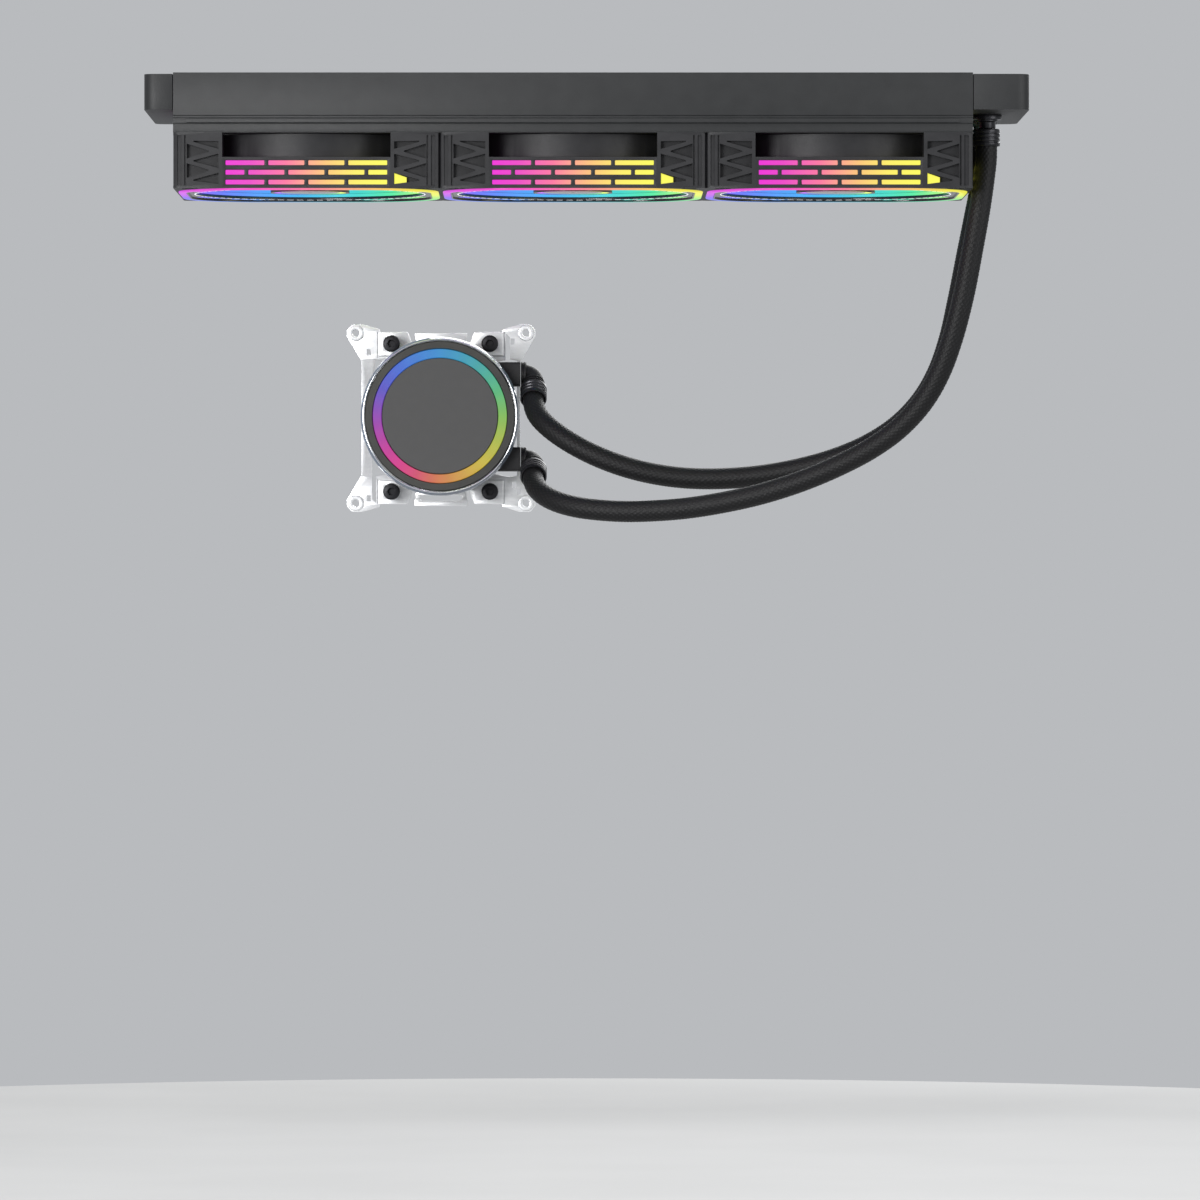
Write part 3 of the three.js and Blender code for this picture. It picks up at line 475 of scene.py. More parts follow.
class Finish:
    """A node material, with short ways to add the nodes that these finishes share."""

    def __init__(self, name, **sockets):
        self.material = bpy.data.materials.new(name)
        self.material.use_nodes = True
        self.nodes = self.material.node_tree.nodes
        self.shader = self.nodes["Principled BSDF"]
        for label, value in sockets.items():
            self.shader.inputs[label.replace("_", " ")].default_value = value
        self.place = self.nodes.new("ShaderNodeTexCoord").outputs["Object"]

    def link(self, source, target):
        self.material.node_tree.links.new(source, target)

    def stretched(self, scale):
        mapping = self.nodes.new("ShaderNodeMapping")
        mapping.inputs["Scale"].default_value = scale
        self.link(self.place, mapping.inputs["Vector"])
        return mapping.outputs["Vector"]

    def noise(self, scale, detail=3.0, vector=None):
        node = self.nodes.new("ShaderNodeTexNoise")
        node.inputs["Scale"].default_value = scale
        node.inputs["Detail"].default_value = detail
        self.link(vector or self.place, node.inputs["Vector"])
        return node.outputs["Fac"]

    def math(self, operation, a, b=0.0):
        node = self.nodes.new("ShaderNodeMath")
        node.operation = operation
        for value, socket in ((a, node.inputs[0]), (b, node.inputs[1])):
            if isinstance(value, (int, float)):
                socket.default_value = value
            else:
                self.link(value, socket)
        return node.outputs[0]

    def ranged(self, value, low, high, to_low, to_high):
        node = self.nodes.new("ShaderNodeMapRange")
        limits = {"From Min": low, "From Max": high, "To Min": to_low, "To Max": to_high}
        for label, number in limits.items():
            node.inputs[label].default_value = number
        self.link(value, node.inputs["Value"])
        return node.outputs["Result"]

    def ramp(self, value, stops):
        node = self.nodes.new("ShaderNodeValToRGB")
        elements = node.color_ramp.elements
        for i, (position, colour) in enumerate(stops):
            element = elements[i] if i < 2 else elements.new(position)
            element.position = position
            element.color = colour
        self.link(value, node.inputs["Fac"])
        return node.outputs["Color"]

    def blend(self, share, a, b, mode="MIX"):
        node = self.nodes.new("ShaderNodeMix")
        node.data_type = "RGBA"
        node.blend_type = mode
        for value, socket in ((share, node.inputs[0]), (a, node.inputs[6]), (b, node.inputs[7])):
            if isinstance(value, bpy.types.NodeSocket):
                self.link(value, socket)
            else:
                socket.default_value = value
        return node.outputs[2]

    def axes(self):
        node = self.nodes.new("ShaderNodeSeparateXYZ")
        self.link(self.place, node.inputs[0])
        return node.outputs

    def angle(self):
        """The angle about the piece's own Z axis, from 0 to 1 all the way round."""
        x, y, _ = self.axes()
        return self.ranged(self.math("ARCTAN2", y, x), -math.pi, math.pi, 0.0, 1.0)

    def radius(self):
        """The distance from the piece's own Z axis, in metres."""
        x, y, _ = self.axes()
        squares = [self.math("MULTIPLY", value, value) for value in (x, y)]
        return self.math("SQRT", self.math("ADD", *squares))

    def bump(self, height, depth):
        """Relief from a height between 0 and 1. The depth is in millimetres."""
        node = self.nodes.new("ShaderNodeBump")
        node.inputs["Strength"].default_value = 1.0
        node.inputs["Distance"].default_value = depth * MM
        self.link(height, node.inputs["Height"])
        self.link(node.outputs["Normal"], self.shader.inputs["Normal"])

    def colour(self, source):
        self.link(source, self.shader.inputs["Base Color"])

    def rough(self, source):
        self.link(source, self.shader.inputs["Roughness"])

    def glow(self, source):
        self.link(source, self.shader.inputs["Emission Color"])


def grained(name, dark, light, roughness, grain, depth, swing=0.08, stretch=None, **sockets):
    """A surface with a fine grain in its relief and roughness, and a broad cloudiness in its colour."""
    made = Finish(name, **sockets)
    vector = made.stretched(stretch) if stretch else None
    fine = made.noise(grain, 3.0, vector)
    cloud = made.noise(grain / 22, 3.0, vector)
    made.colour(made.ramp(cloud, coloured([(0.3, dark), (0.7, light)])))
    made.rough(made.ranged(fine, 0.3, 0.7, roughness - swing, roughness + swing))
    made.bump(fine, depth)
    return made.material


def coloured(stops):
    """Stops of (position, colour code) with their colours as linear values."""
    return [(position, rgb(code)) for position, code in stops]


def hue_stops(wheel):
    """Stops of (degrees, colour code) as a closed ramp from -180 to 180 degrees."""
    return coloured([((degrees + 180) / 360, code) for degrees, code in wheel])


# The lamps' hues by the angle about the axis, in degrees, and by the place along a side window.
FAN_WHEEL = [
    (-180, "B45CF4"), (-150, "E050F0"), (-112, "FF4CC8"), (-88, "FF7E9C"), (-68, "FFB27C"),
    (-45, "FFF04E"), (-10, "F4FF58"), (18, "B4F67C"), (45, "5CE8A4"), (75, "3CD0DC"),
    (105, "48AEF8"), (140, "6C84F8"), (165, "8C66F8"), (180, "B45CF4"),
]
CAP_WHEEL = [
    (-180, "8E3EB2"), (-150, "BE3098"), (-130, "D43088"), (-112, "D0486C"), (-95, "D0704C"), (-75, "CC9442"),
    (-50, "CAB43A"), (-25, "AEBA44"), (0, "80BA54"), (22, "56B678"), (45, "42A89A"), (68, "349AB8"),
    (95, "328AD0"), (130, "406AD2"), (155, "5850C2"), (180, "8E3EB2"),
]
BAR_STOPS = [
    (0.0, "F020D8"), (0.16, "EC42C6"), (0.38, "FC76A0"), (0.62, "FCC678"), (0.8, "FFEE66"), (1.0, "FFFC5C"),
]


def lit_wheel(name, wheel, strength):
    """A lit diffuser whose hue runs round the piece's own Z axis, a little brighter at each lamp."""
    lamp_count = 24
    made = Finish(name, Roughness=0.35, Specular_IOR_Level=0.3, Emission_Strength=strength)
    hue = made.ramp(made.angle(), hue_stops(wheel))
    lamps = made.math("COSINE", made.math("MULTIPLY", made.angle(), TURN * lamp_count))
    shade = made.ranged(lamps, -1.0, 1.0, 0.96, 1.0)
    frost = made.noise(5200.0, 2.0)
    made.glow(made.blend(1.0, hue, shade, "MULTIPLY"))
    made.colour(made.blend(0.85, hue, rgb("202020")))
    made.bump(frost, 0.02)
    return made.material


def lit_bars(name, strength):
    """The side windows' diffuser: the hue runs along X."""
    reach = 37.0 * MM
    made = Finish(name, Roughness=0.35, Specular_IOR_Level=0.3, Emission_Strength=strength)
    x = made.axes()[0]
    hue = made.ramp(made.ranged(x, -reach, reach, 0.0, 1.0), coloured(BAR_STOPS))
    frost = made.noise(4800.0, 2.0)
    made.glow(made.blend(1.0, hue, made.ranged(frost, 0.3, 0.7, 0.93, 1.0), "MULTIPLY"))
    made.colour(made.blend(0.92, hue, rgb("101010")))
    made.bump(frost, 0.02)
    return made.material


def lit_white(name, strength):
    """White lit diffuser, a little uneven."""
    made = Finish(name, Roughness=0.4, Emission_Strength=strength)
    made.glow(made.ramp(made.noise(240.0, 2.0), coloured([(0.3, "D8E4F4"), (0.7, "FFFFFF")])))
    made.bump(made.noise(4200.0, 2.0), 0.02)
    return made.material


def milky_blades():
    """Translucent blades lit from the hub and the rim: white by the hub, then the hue of the angle."""
    glow_start, glow_end, lean = 0.0185, 0.0275, 190.0
    made = Finish(
        "milky_blades", Roughness=0.32, Transmission_Weight=0.15, IOR=1.45, Emission_Strength=1.1,
    )
    hue = made.ramp(made.angle(), hue_stops(FAN_WHEEL))
    near_hub = made.ranged(made.radius(), glow_start, glow_end, 0.8, 0.0)
    around = made.math("MULTIPLY", made.angle(), TURN * BLADES)
    outward = made.math("MULTIPLY", made.radius(), lean)
    bands = made.ranged(made.math("SINE", made.math("ADD", around, outward)), -1.0, 1.0, 0.7, 1.0)
    cloud = made.ranged(made.noise(60.0, 2.0), 0.3, 0.7, 0.85, 1.0)
    glow = made.blend(near_hub, hue, rgb("F4FAFF"))
    made.glow(made.blend(1.0, glow, made.math("MULTIPLY", bands, cloud), "MULTIPLY"))
    made.colour(made.blend(0.75, hue, rgb("181818")))
    made.bump(made.noise(3800.0, 2.0), 0.015)
    return made.material


def braided_sleeve():
    """Black braid whose colour is painted lighter on the crowns of the strands and darker between them, a
    painted highlight and painted shade, with fine fibres along the strands.
    """
    made = Finish(
        "braided_sleeve", Roughness=0.5, Sheen_Weight=0.05, Sheen_Roughness=0.4, Specular_IOR_Level=0.3,
    )
    crown = made.nodes.new("ShaderNodeAttribute")
    crown.attribute_name = "painted_braid_shading"
    fibre = made.noise(5200.0, 3.0)
    cloud = made.noise(140.0, 2.0)
    # The braid's colour runs from painted shade in the valleys between the strands to a painted highlight on
    # their crowns.
    shades = coloured([(0.0, "030304"), (0.55, "0B0B0D"), (1.0, "19191B")])
    painted_crown_shading = made.ramp(crown.outputs["Fac"], shades)
    made.colour(made.blend(made.ranged(cloud, 0.35, 0.65, 0.0, 0.3), painted_crown_shading, rgb("0E0E10")))
    made.rough(made.ranged(fibre, 0.3, 0.7, 0.44, 0.64))
    made.bump(fibre, 0.03)
    return made.material


def clear_bevel():
    """Clear plastic whose colour carries a painted cool reflection, stronger in places, and a faint painted
    glow in the same hue.
    """
    made = Finish(
        "clear_bevel", Roughness=0.08, Transmission_Weight=0.55, IOR=1.49, Emission_Strength=0.05,
    )
    # Painted reflection: the bluish tint is strongest towards the upper left and the left, and it also feeds
    # the faint painted glow.
    painted_reflection_tints = [(0.0, "88A4C8"), (0.35, "8890A0"), (0.6, "8CA0AC"), (0.8, "98B0C8"), (1.0, "88A4C8")]
    hue = made.ramp(made.angle(), coloured(painted_reflection_tints))
    made.colour(made.blend(0.45, rgb("50565E"), hue))
    made.glow(hue)
    made.bump(made.noise(900.0, 2.0), 0.01)
    return made.material


def copper_plate():
    """Machined copper with fine milling marks and a warm cloudiness."""
    made = Finish("machined_copper", Metallic=1.0)
    ring_pitch = 9000.0
    rings = made.math("SINE", made.math("MULTIPLY", made.radius(), ring_pitch))
    cloud = made.noise(90.0, 3.0)
    made.colour(made.ramp(cloud, coloured([(0.3, "C4835F"), (0.7, "CE8E69")])))
    made.rough(made.ranged(rings, -1.0, 1.0, 0.2, 0.34))
    made.bump(rings, 0.006)
    return made.material


BLACK_PLASTIC = grained("black_plastic", "131315", "1A1A1C", 0.5, 3600.0, 0.025, Specular_IOR_Level=0.32)
FRAME_PLASTIC = grained("frame_plastic", "1C1C1E", "242426", 0.48, 3200.0, 0.03, Specular_IOR_Level=0.3)
TRIM_PLASTIC = grained("trim_plastic", "141416", "1C1C1F", 0.24, 3000.0, 0.01, 0.06, Coat_Weight=0.3)
POWDER_COAT = grained("powder_coat", "1F2021", "242526", 0.5, 2600.0, 0.05, 0.1, Specular_IOR_Level=0.35)
FITTING = grained("black_fitting", "2A2A2D", "3A3A3D", 0.3, 2400.0, 0.012, 0.07, Metallic=0.7)
FIN_METAL = grained("coated_fins", "2B2C2F", "404247", 0.4, 1800.0, 0.02, 0.1, Metallic=0.75)
TUBE_METAL = grained("coated_tubes", "35363A", "45474C", 0.38, 1200.0, 0.02, 0.08, (1, 8, 8), Metallic=0.75)
BRACKET_STEEL = grained(
    "bright_steel", "DFE0E2", "EDEEEF", 0.34, 1400.0, 0.006, 0.07, (1, 9, 1), Metallic=0.4,
)
SPRING_STEEL = grained("spring_steel", "8C8E92", "B4B6BA", 0.25, 2000.0, 0.01, 0.08, Metallic=1.0)
SCREW_BLACK = grained("black_oxide", "222224", "303033", 0.4, 2600.0, 0.015, 0.1, Metallic=0.8)
CAP_BAND = grained("smoked_band", "2A2A27", "33332F", 0.32, 1800.0, 0.004, 0.05, Coat_Weight=0.1)
CAP_DISC = grained("cap_disc", "3C3C3C", "3E3E3E", 0.55, 5200.0, 0.012, 0.06)
CHROME = grained("chrome", "E2E5EA", "F6F8FA", 0.08, 500.0, 0.002, 0.03, Metallic=1.0)
SMOKED_MIRROR = grained("smoked_mirror", "4E4A4A", "625C5C", 0.07, 700.0, 0.002, 0.03, Metallic=0.85)
RUBBER = grained("seal_rubber", "101011", "1A1A1B", 0.8, 2400.0, 0.03)
BOARD = grained("circuit_board", "0C2A1A", "174028", 0.42, 1500.0, 0.02)
WINDING = grained("winding_wire", "8A4A22", "B8683A", 0.36, 700.0, 0.12, 0.1, (1, 1, 14), Metallic=0.8)
WHITE_PLASTIC = grained("white_plastic", "D6D6D4", "E6E6E4", 0.45, 2600.0, 0.02)
CERAMIC = grained("ceramic", "DAD6CC", "EEEAE2", 0.15, 1500.0, 0.003, 0.05)
BLADE_PLASTIC = milky_blades()
COPPER = copper_plate()
SLEEVE = braided_sleeve()
CLEAR = clear_bevel()
FAN_LIGHT = lit_wheel("fan_ring_light", FAN_WHEEL, 0.8)
LINE_LIGHT = lit_wheel("fan_line_light", FAN_WHEEL, 0.85)
LIP_LIGHT = lit_wheel("fan_lip_light", FAN_WHEEL, 0.95)
HUB_LIGHT = lit_wheel("hub_ring_light", FAN_WHEEL, 0.9)
BAR_LIGHT = lit_bars("side_bar_light", 0.9)
CAP_LIGHT = lit_wheel("cap_ring_light", CAP_WHEEL, 0.78)
WHITE_LIGHT = lit_white("face_dash_light", 0.8)

# ---- Radiator ----


def add_core():
    """Flat tubes with folded fins between them, and a header plate at each end."""
    half, thick, edge = RADIATOR_HALF - 2.0, 1.0, 59.0
    tubes = []
    for i in range(TUBES):
        y = (i - (TUBES - 1) / 2) * TUBE_PITCH
        section = fillet(rectangle(y - thick, y + thick, CORE_LOW, CORE_TOP), 0.9, 3)
        tubes.append(bar_along_x(section, -half, half))
    put("core_tubes", mesh_of(merged(tubes)), TUBE_METAL, replaces=["radiator_core"])
    fins = [fin_bank((i - TUBES / 2) * TUBE_PITCH, half) for i in range(TUBES + 1)]
    put("core_fins", mesh_of(merged(fins), sharp=20), FIN_METAL)
    headers = []
    for side in (-1, 1):
        x0, x1 = sorted((side * half, side * RADIATOR_HALF))
        headers.append(block(x0, x1, -edge, edge, CORE_LOW - 0.4, CORE_TOP + 0.1))
    put("core_headers", mesh_of(merged(headers), bevel=0.3), POWDER_COAT)


def fin_bank(y, half):
    """One strip folded back and forth between two tubes."""
    pitch, thin, reach = 1.3, 0.09, TUBE_PITCH / 2 - 1.05
    outermost = TUBE_PITCH * (TUBES - 1) / 2
    if abs(y) > outermost:
        # Beyond the outermost tube only a narrow bank fits beside the rail.
        reach = 1.9
        y = math.copysign(57.0, y)
    low, high = CORE_LOW + 0.7, CORE_TOP - 0.7
    count = int(2 * (half - 1) / pitch) * 2 + 1
    line = [(-half + 1 + k * pitch / 2, y + (reach if k % 2 else -reach)) for k in range(count)]
    vertices = [(x + side, yy, z) for z in (low, high) for side in (-thin, thin) for x, yy in line]
    faces = []
    for k in range(count - 1):
        a, b, c, d = k, count + k, 2 * count + k, 3 * count + k
        faces += [[a, a + 1, b + 1, b], [c, d, d + 1, c + 1], [a, c, c + 1, a + 1], [b, b + 1, d + 1, d]]
    for k in (0, count - 1):
        faces.append([k, count + k, 3 * count + k, 2 * count + k])
    return vertices, faces


def add_rail(name, side):
    """A folded side channel with a rolled bead along its web and holes for the fans' screws."""
    outer, web, sheet, flange = 60.0, 1.4, 1.0, 13.0
    floor = sheet - RADIATOR_DEPTH
    section = [
        (outer - flange, 0), (outer, 0), (outer, -19.2), (outer - 0.4, -19.5), (outer - 0.4, -20.2),
        (outer, -20.5), (outer + 0.6, -20.8), (outer + 0.6, -22.5), (outer, -22.8),
        (outer - 0.5, -23.0), (outer - 0.5, -26.4), (outer, -26.6), (outer, -RADIATOR_DEPTH),
        (outer - flange, -RADIATOR_DEPTH), (outer - flange, floor), (outer - web, floor),
        (outer - web, -sheet), (outer - flange, -sheet),
    ]
    channel = bar_along_x(flipped(section, side, 1), -RADIATOR_HALF, RADIATOR_HALF)
    holes = []
    for centre in FAN_CENTRES:
        for x in (centre - FAN_HOLE, centre + FAN_HOLE):
            for z0, z1 in ((-2, 1), (-RADIATOR_DEPTH - 1, -RADIATOR_DEPTH + 2)):
                holes.append(shifted(extrude(circle(1.8, 24), z0, z1), x, side * FAN_HOLE))
    y0, y1 = sorted((side * (outer + 0.05), side * (outer + 2)))
    for x in (-177.5, 177.5):
        holes.append(block(x - 3.6, x + 3.6, y0, y1, -24, -19))
    mesh = mesh_of(cut(channel, merged(holes)), bevel=0.16)
    piece = name.replace("_rail", "_side_rail")
    put(piece, mesh, POWDER_COAT, replaces=[name])


def tank_shape(length):
    """A shallow end tank with rounded outer corners, from the header outwards along X."""
    top, low, half, corner = -0.6, -16.6, 59.4, 7.0
    return extrude(fillet(rectangle(0.1, length, -half, half), corner, 8, closed=False), low, top)


def add_tanks():
    """The tank that the hoses join, the return tank with its fill hole, and the crimps by the core."""
    start = RADIATOR_HALF + TANK_GAP
    middles = [(BARB_X - start, y) for y in (-BARB_Y, BARB_Y)]
    bosses = [shifted(drum(8.4, -16.7, -14, 48), x, y) for x, y in middles]
    holes = [shifted(drum(3.0, -18, -12, 32), x, y) for x, y in middles]
    hose_end = shifted(cut(joined(tank_shape(TANK_LENGTH), *bosses), *holes), start)
    bore = turned(drum(2.6, -4, 4, 32), TURN / 4, "Y")
    hole = shifted(bore, RETURN_LENGTH, -FILL_Y, TANK_MIDDLE)
    return_end = shifted(turned(cut(tank_shape(RETURN_LENGTH), hole), math.pi), -start)
    for name, shape, node in (
        ("hose_end_tank", hose_end, "hose_tank"), ("return_end_tank", return_end, "return_tank"),
    ):
        put(name, mesh_of(shape, 1.1, 3), POWDER_COAT, replaces=[node])
    lips = []
    for side in (1, -1):
        for z in (-0.9, -16.3):
            x0, x1 = sorted((side * (start + 0.2), side * (start + 2.6)))
            lips.append(block(x0, x1, -58.0, 58.0, z - 0.28, z + 0.28))
    put("tank_crimps", mesh_of(merged(lips), bevel=0.12), FITTING)


def add_fill_plug():
    """A low round plug with a hex socket."""
    profile = [
        (0, -3), (2.3, -3), (2.3, 0.2), (4.4, 0.2), (4.6, 0.5), (4.6, 1.6), (4.2, 2.0), (0, 2.0),
    ]
    plug = cut(lathe(profile, 48), extrude(circle(1.8, 6), 0.9, 3.0))
    place = at(-193.2, FILL_Y, TANK_MIDDLE) @ Matrix.Rotation(-TURN / 4, 4, "Y")
    put("tank_fill_plug", mesh_of(plug, bevel=0.1), FITTING, place=place,
        replaces=["fill_plug"])


def add_barb(side, y):
    """The flange and neck of a barb, then the crimped collar on the hose."""
    profile = fillet([
        (1.9, -15.2), (2.9, -15.2), (2.9, -16.8), (7.0, -16.8), (7.0, -19.0), (5.2, -19.0), (5.2, -19.8),
        (4.2, -20.2), (4.2, -22.9), (1.9, -22.9),
    ], 0.3, 2)
    place = at(BARB_X, y)
    put(f"{side}_hose_barb", mesh_of(lathe(profile, 64)), FITTING, place=place,
        replaces=[f"{side}_radiator_barb"])
    put(f"{side}_tank_collar", mesh_of(collar_shape()), FITTING,
        place=place @ at(z=-23.2), replaces=[f"{side}_radiator_ferrule"])


def collar_shape():
    """A crimped collar: a cup with rolled ends and three crimp grooves."""
    length, wide, waist = 7.8, 6.2, 6.2 - 0.32
    outer = [(5.5, 0), (wide - 0.1, -0.25), (wide, -0.7)]
    for groove in (-2.0, -3.9, -5.8):
        outer += [(wide, groove + 0.55), (waist, groove + 0.2), (waist, groove - 0.2), (wide, groove - 0.55)]
    outer += [(wide, -length + 0.35), (wide - 0.2, -length), (5.45, -length)]
    return lathe([(4.4, 0), *outer, (5.35, -1.0), (4.4, -1.0)], 64)


def add_radiator():
    add_core()
    add_rail("front_rail", -1)
    add_rail("back_rail", 1)
    add_tanks()
    add_fill_plug()
    add_barb("front", -BARB_Y)
    add_barb("back", BARB_Y)


# ---- Fans ----


def truss_cuts():
    """The recessed triangles between the zigzag ribs of one corner post, on its front face."""
    inner, outer, deep, rib = POST_START + 1.6, TRUSS_END - 0.3, 3.2, 1.05
    heights = (0.0, -4.0, -8.5, -12.8, -17.1, -21.5, -26.0)
    zigzag = [(outer if k % 2 else inner, z) for k, z in enumerate(heights)]
    cuts = []
    for before, tip, after in zip(zigzag, zigzag[1:], zigzag[2:]):
        low, high = max(after[1] + rib, -23.2), min(before[1] - rib, -4.0)
        apex = tip[0] + (4.4 if tip[0] == inner else -3.0)
        outline = [(before[0], high), (apex, tip[1] + 0.25), (apex, tip[1] - 0.25), (before[0], low)]
        cuts.append(extrude(outline, FAN_HALF - deep, FAN_HALF + 1))
    for x0, x1 in ((TRUSS_END, 54.9), (56.1, 58.1)):
        cuts.append(extrude(rectangle(x0, x1, -23.9, -1.2), FAN_HALF - 0.9, FAN_HALF + 1))
    return cuts


def on_each_side(shape):
    """A shape drawn in X and Z (as its X and Y) with its front along +Z, copied to a fan's four sides."""
    upright = Matrix(((1, 0, 0, 0), (0, 0, -1, 0), (0, 1, 0, 0), (0, 0, 0, 1)))
    return [turned(moved(shape, upright), quarter) for quarter in QUARTERS]


def mirrored(shape):
    return [(-x, y, z) for x, y, z in shape[0]], [face[::-1] for face in shape[1]]


def slot_rows():
    """The side window's slots: two rows of four with a staggered row of five between them."""
    half = 1.1
    even = [(-36.4, -18.9), (-17.1, -0.9), (0.9, 17.1), (18.9, 36.4)]
    odd = [(-36.4, -27.9), (-26.1, -9.9), (-8.1, 8.1), (9.9, 26.1), (27.9, 36.4)]
    rows = ((-13.6, even), (-17.9, odd), (-22.35, even))
    return [(x0, x1, z - half, z + half) for z, row in rows for x0, x1 in row]


def frame_shape():
    """The square frame: corner posts, slotted side plates, duct, face plate, motor mount and struts."""
    half, chamfer, below = FAN_HALF, 2.2, -FAN_DEPTH - 1
    posts = []
    for sx, sy in CORNERS:
        for inner, z0 in ((41.0, -FAN_DEPTH), (40.0, -2.6)):
            outline = [
                (POST_START, inner), (inner, POST_START), (half, POST_START), (half, half - chamfer),
                (half - 0.7, half - 0.7), (half - chamfer, half), (POST_START, half),
            ]
            posts.append(extrude(flipped(outline, sx, sy), z0, 0))
    panel = plate(
        rectangle(-POST_START - 1, POST_START + 1, -FAN_DEPTH + 0.02, SIDE_PLATE_TOP),
        [fillet(rectangle(*window), 0.35, 2) for window in slot_rows()],
        FAN_HALF - SIDE_SHEET, FAN_HALF - 0.02, 0.12,
    )
    panels = on_each_side(panel)
    floor = extrude(rounded_square(2 * FAN_HALF - 1.2, 4.0), POCKET_TOP, FLOOR_TOP)
    rim = extrude(rounded_square(2 * FAN_HALF - 0.04, 3.5), -FAN_DEPTH, POCKET_TOP + 0.2)
    pocket = extrude(rounded_square(118.5, 35.2, 24), below, POCKET_TOP)
    shell = cut(joined(*posts, rim, floor), pocket)
    truss = []
    for shape in truss_cuts():
        truss += on_each_side(shape) + on_each_side(mirrored(shape))
    shell = cut(
        shell, drum(DUCT_INNER + 1, FLOOR_TOP, 1, 128), drum(FACE_OPENING, below, 0, 128),
        merged(at_corners(extrude(circle(2.2, 32), below, 1), FAN_HOLE)),
        merged(at_corners(extrude(circle(3.9, 40), below, -22.7), FAN_HOLE)),
        *[merged(truss[k::8]) for k in range(8)],
    )
    duct = lathe([
        (DUCT_INNER, FLOOR_TOP - 0.4), (DUCT_OUTER, FLOOR_TOP - 0.4), (DUCT_OUTER, -0.4),
        (DUCT_OUTER - 0.4, 0), (DUCT_INNER + 0.6, 0), (DUCT_INNER, -0.8),
    ], 128)
    mount = lathe([
        (0, 0), (19.4, 0), (20, -0.6), (20, -2.6), (4, -2.6), (4, -14), (1.6, -14), (1.6, -2.2), (0, -2.2),
    ], 64)
    edge = [(18.5, 3.4), (30, 2.4), (DUCT_INNER + 1, 2.6)]
    strut = extrude(flipped(edge, 1, -1) + edge[::-1], -2.6, 0)
    struts = [turned(strut, TURN / 8 + quarter) for quarter in QUARTERS]
    return joined(shell, duct, mount, *struts, *panels)


def side_light_shape():
    """The diffuser behind the side windows, with a bar that fills each slot."""
    gap = 0.06
    shapes = [extrude(rectangle(-36.3, 36.3, -23.3, -12.5), 57.0, 58.25)]
    for x0, x1, z0, z1 in slot_rows():
        outline = fillet(rectangle(x0 + gap, x1 - gap, z0 + gap, z1 - gap), 0.35, 2)
        shapes.append(extrude(outline, 58.1, 59.78))
    return merged([merged(on_each_side(shape)) for shape in shapes])


def corner_light_shape():
    """A small lit wedge that shows in one recess of a post, beside the side window."""
    outline = [(39.6, -18.3), (45.1, -20.2), (45.1, -23.1), (39.6, -23.1)]
    return merged(on_each_side(extrude(outline, 58.3, 59.0)))


def meander_line(start, end):
    """A square wave along an arc, three humps long, as raised strips on the face."""
    inner, outer, reach, humps = 53.6, 57.6, 0.45, 3
    count = 2 * humps + 1
    step = (end - start) / count
    path = []
    for k in range(count):
        radius = outer if k % 2 else inner
        path += [(radius, start + k * step), (radius, start + (k + 1) * step)]
    strips = []
    for (r0, a0), (r1, a1) in zip(path, path[1:]):
        if abs(a0 - a1) < 1e-9:
            half = reach / ((r0 + r1) / 2)
            corners = rectangle(min(r0, r1), max(r0, r1), a0 - half, a0 + half)
        else:
            half = reach / r0
            corners = rectangle(r0 - reach, r0 + reach, a0 - half, a1 + half)
        strips.append([(r * math.cos(a), r * math.sin(a)) for r, a in corners])
    return [extrude(strip, -FAN_DEPTH - 0.1, -FAN_DEPTH + 0.1) for strip in strips]


def face_lines_shape():
    """The lit meander lines at the four corners of the trim."""
    strips = []
    for quarter in QUARTERS:
        middle = quarter + TURN / 8
        for start, end in ((-22.6, -1.9), (1.9, 22.6)):
            strips += meander_line(middle + math.radians(start), middle + math.radians(end))
    return merged(strips)


def face_dashes_shape():
    """Thin dashes round the edge of the face opening."""
    dashes = []
    count, lit_share = 72, 0.62
    for k in range(count):
        start = k * TURN / count
        angles = [start + share * lit_share * TURN / count for share in (0, 0.5, 1)]
        points = [(52.25, a) for a in angles] + [(52.75, a) for a in angles[::-1]]
        outline = [(r * math.cos(a), r * math.sin(a)) for r, a in points]
        dashes.append(extrude(outline, -FAN_DEPTH - 0.08, -FAN_DEPTH + 0.1))
    return merged(dashes)


def blade_shape():
    """One swept and pitched blade with a rounded section and a slight camber."""
    stations, sides = 10, 24
    middle, inner, tip = -12.5, HUB_RADIUS - 1.0, 52.5
    vertices = []
    for i in range(stations + 1):
        share = i / stations
        radius = inner + (tip - inner) * share
        sweep_angle = math.radians(27.0 * share ** 1.45)
        lean = 0.75 + 0.35 * share
        chord = (6 + radius * 0.68) * (1 - 0.1 * max(0.0, share - 0.85) / 0.15)
        thick = 0.62 - 0.25 * share
        for k in range(sides):
            turn = k * TURN / sides
            along, across = math.cos(turn), math.sin(turn)
            skin = thick * math.copysign(abs(across) ** 0.6, across)
            camber = 0.9 * (1 - along * along)
            angle = sweep_angle + (along * chord * math.sin(lean) / 2) / radius
            z = middle + along * chord * math.cos(lean) / 2.6 + skin + camber
            vertices.append((radius * math.cos(angle), radius * math.sin(angle), z))
    return vertices, tube_faces(stations + 1, sides)


def rotor_shape():
    """The hub's sleeve with its blades and the thin shaft."""
    sleeve = lathe(fillet([
        (0, -22.2), (13.8, -22.2), (13.8, -23.3), (16.8, -23.3), (16.8, -24.3), (18.0, -24.3), (18.0, -4.0),
        (14.2, -4.0), (14.2, -19.6), (1.5, -19.6), (1.5, -3.4), (0, -3.4),
    ], 0.35, 2, closed=False), 96)
    blades = [turned(blade_shape(), k * TURN / BLADES) for k in range(BLADES)]
    return joined(sleeve, *blades)


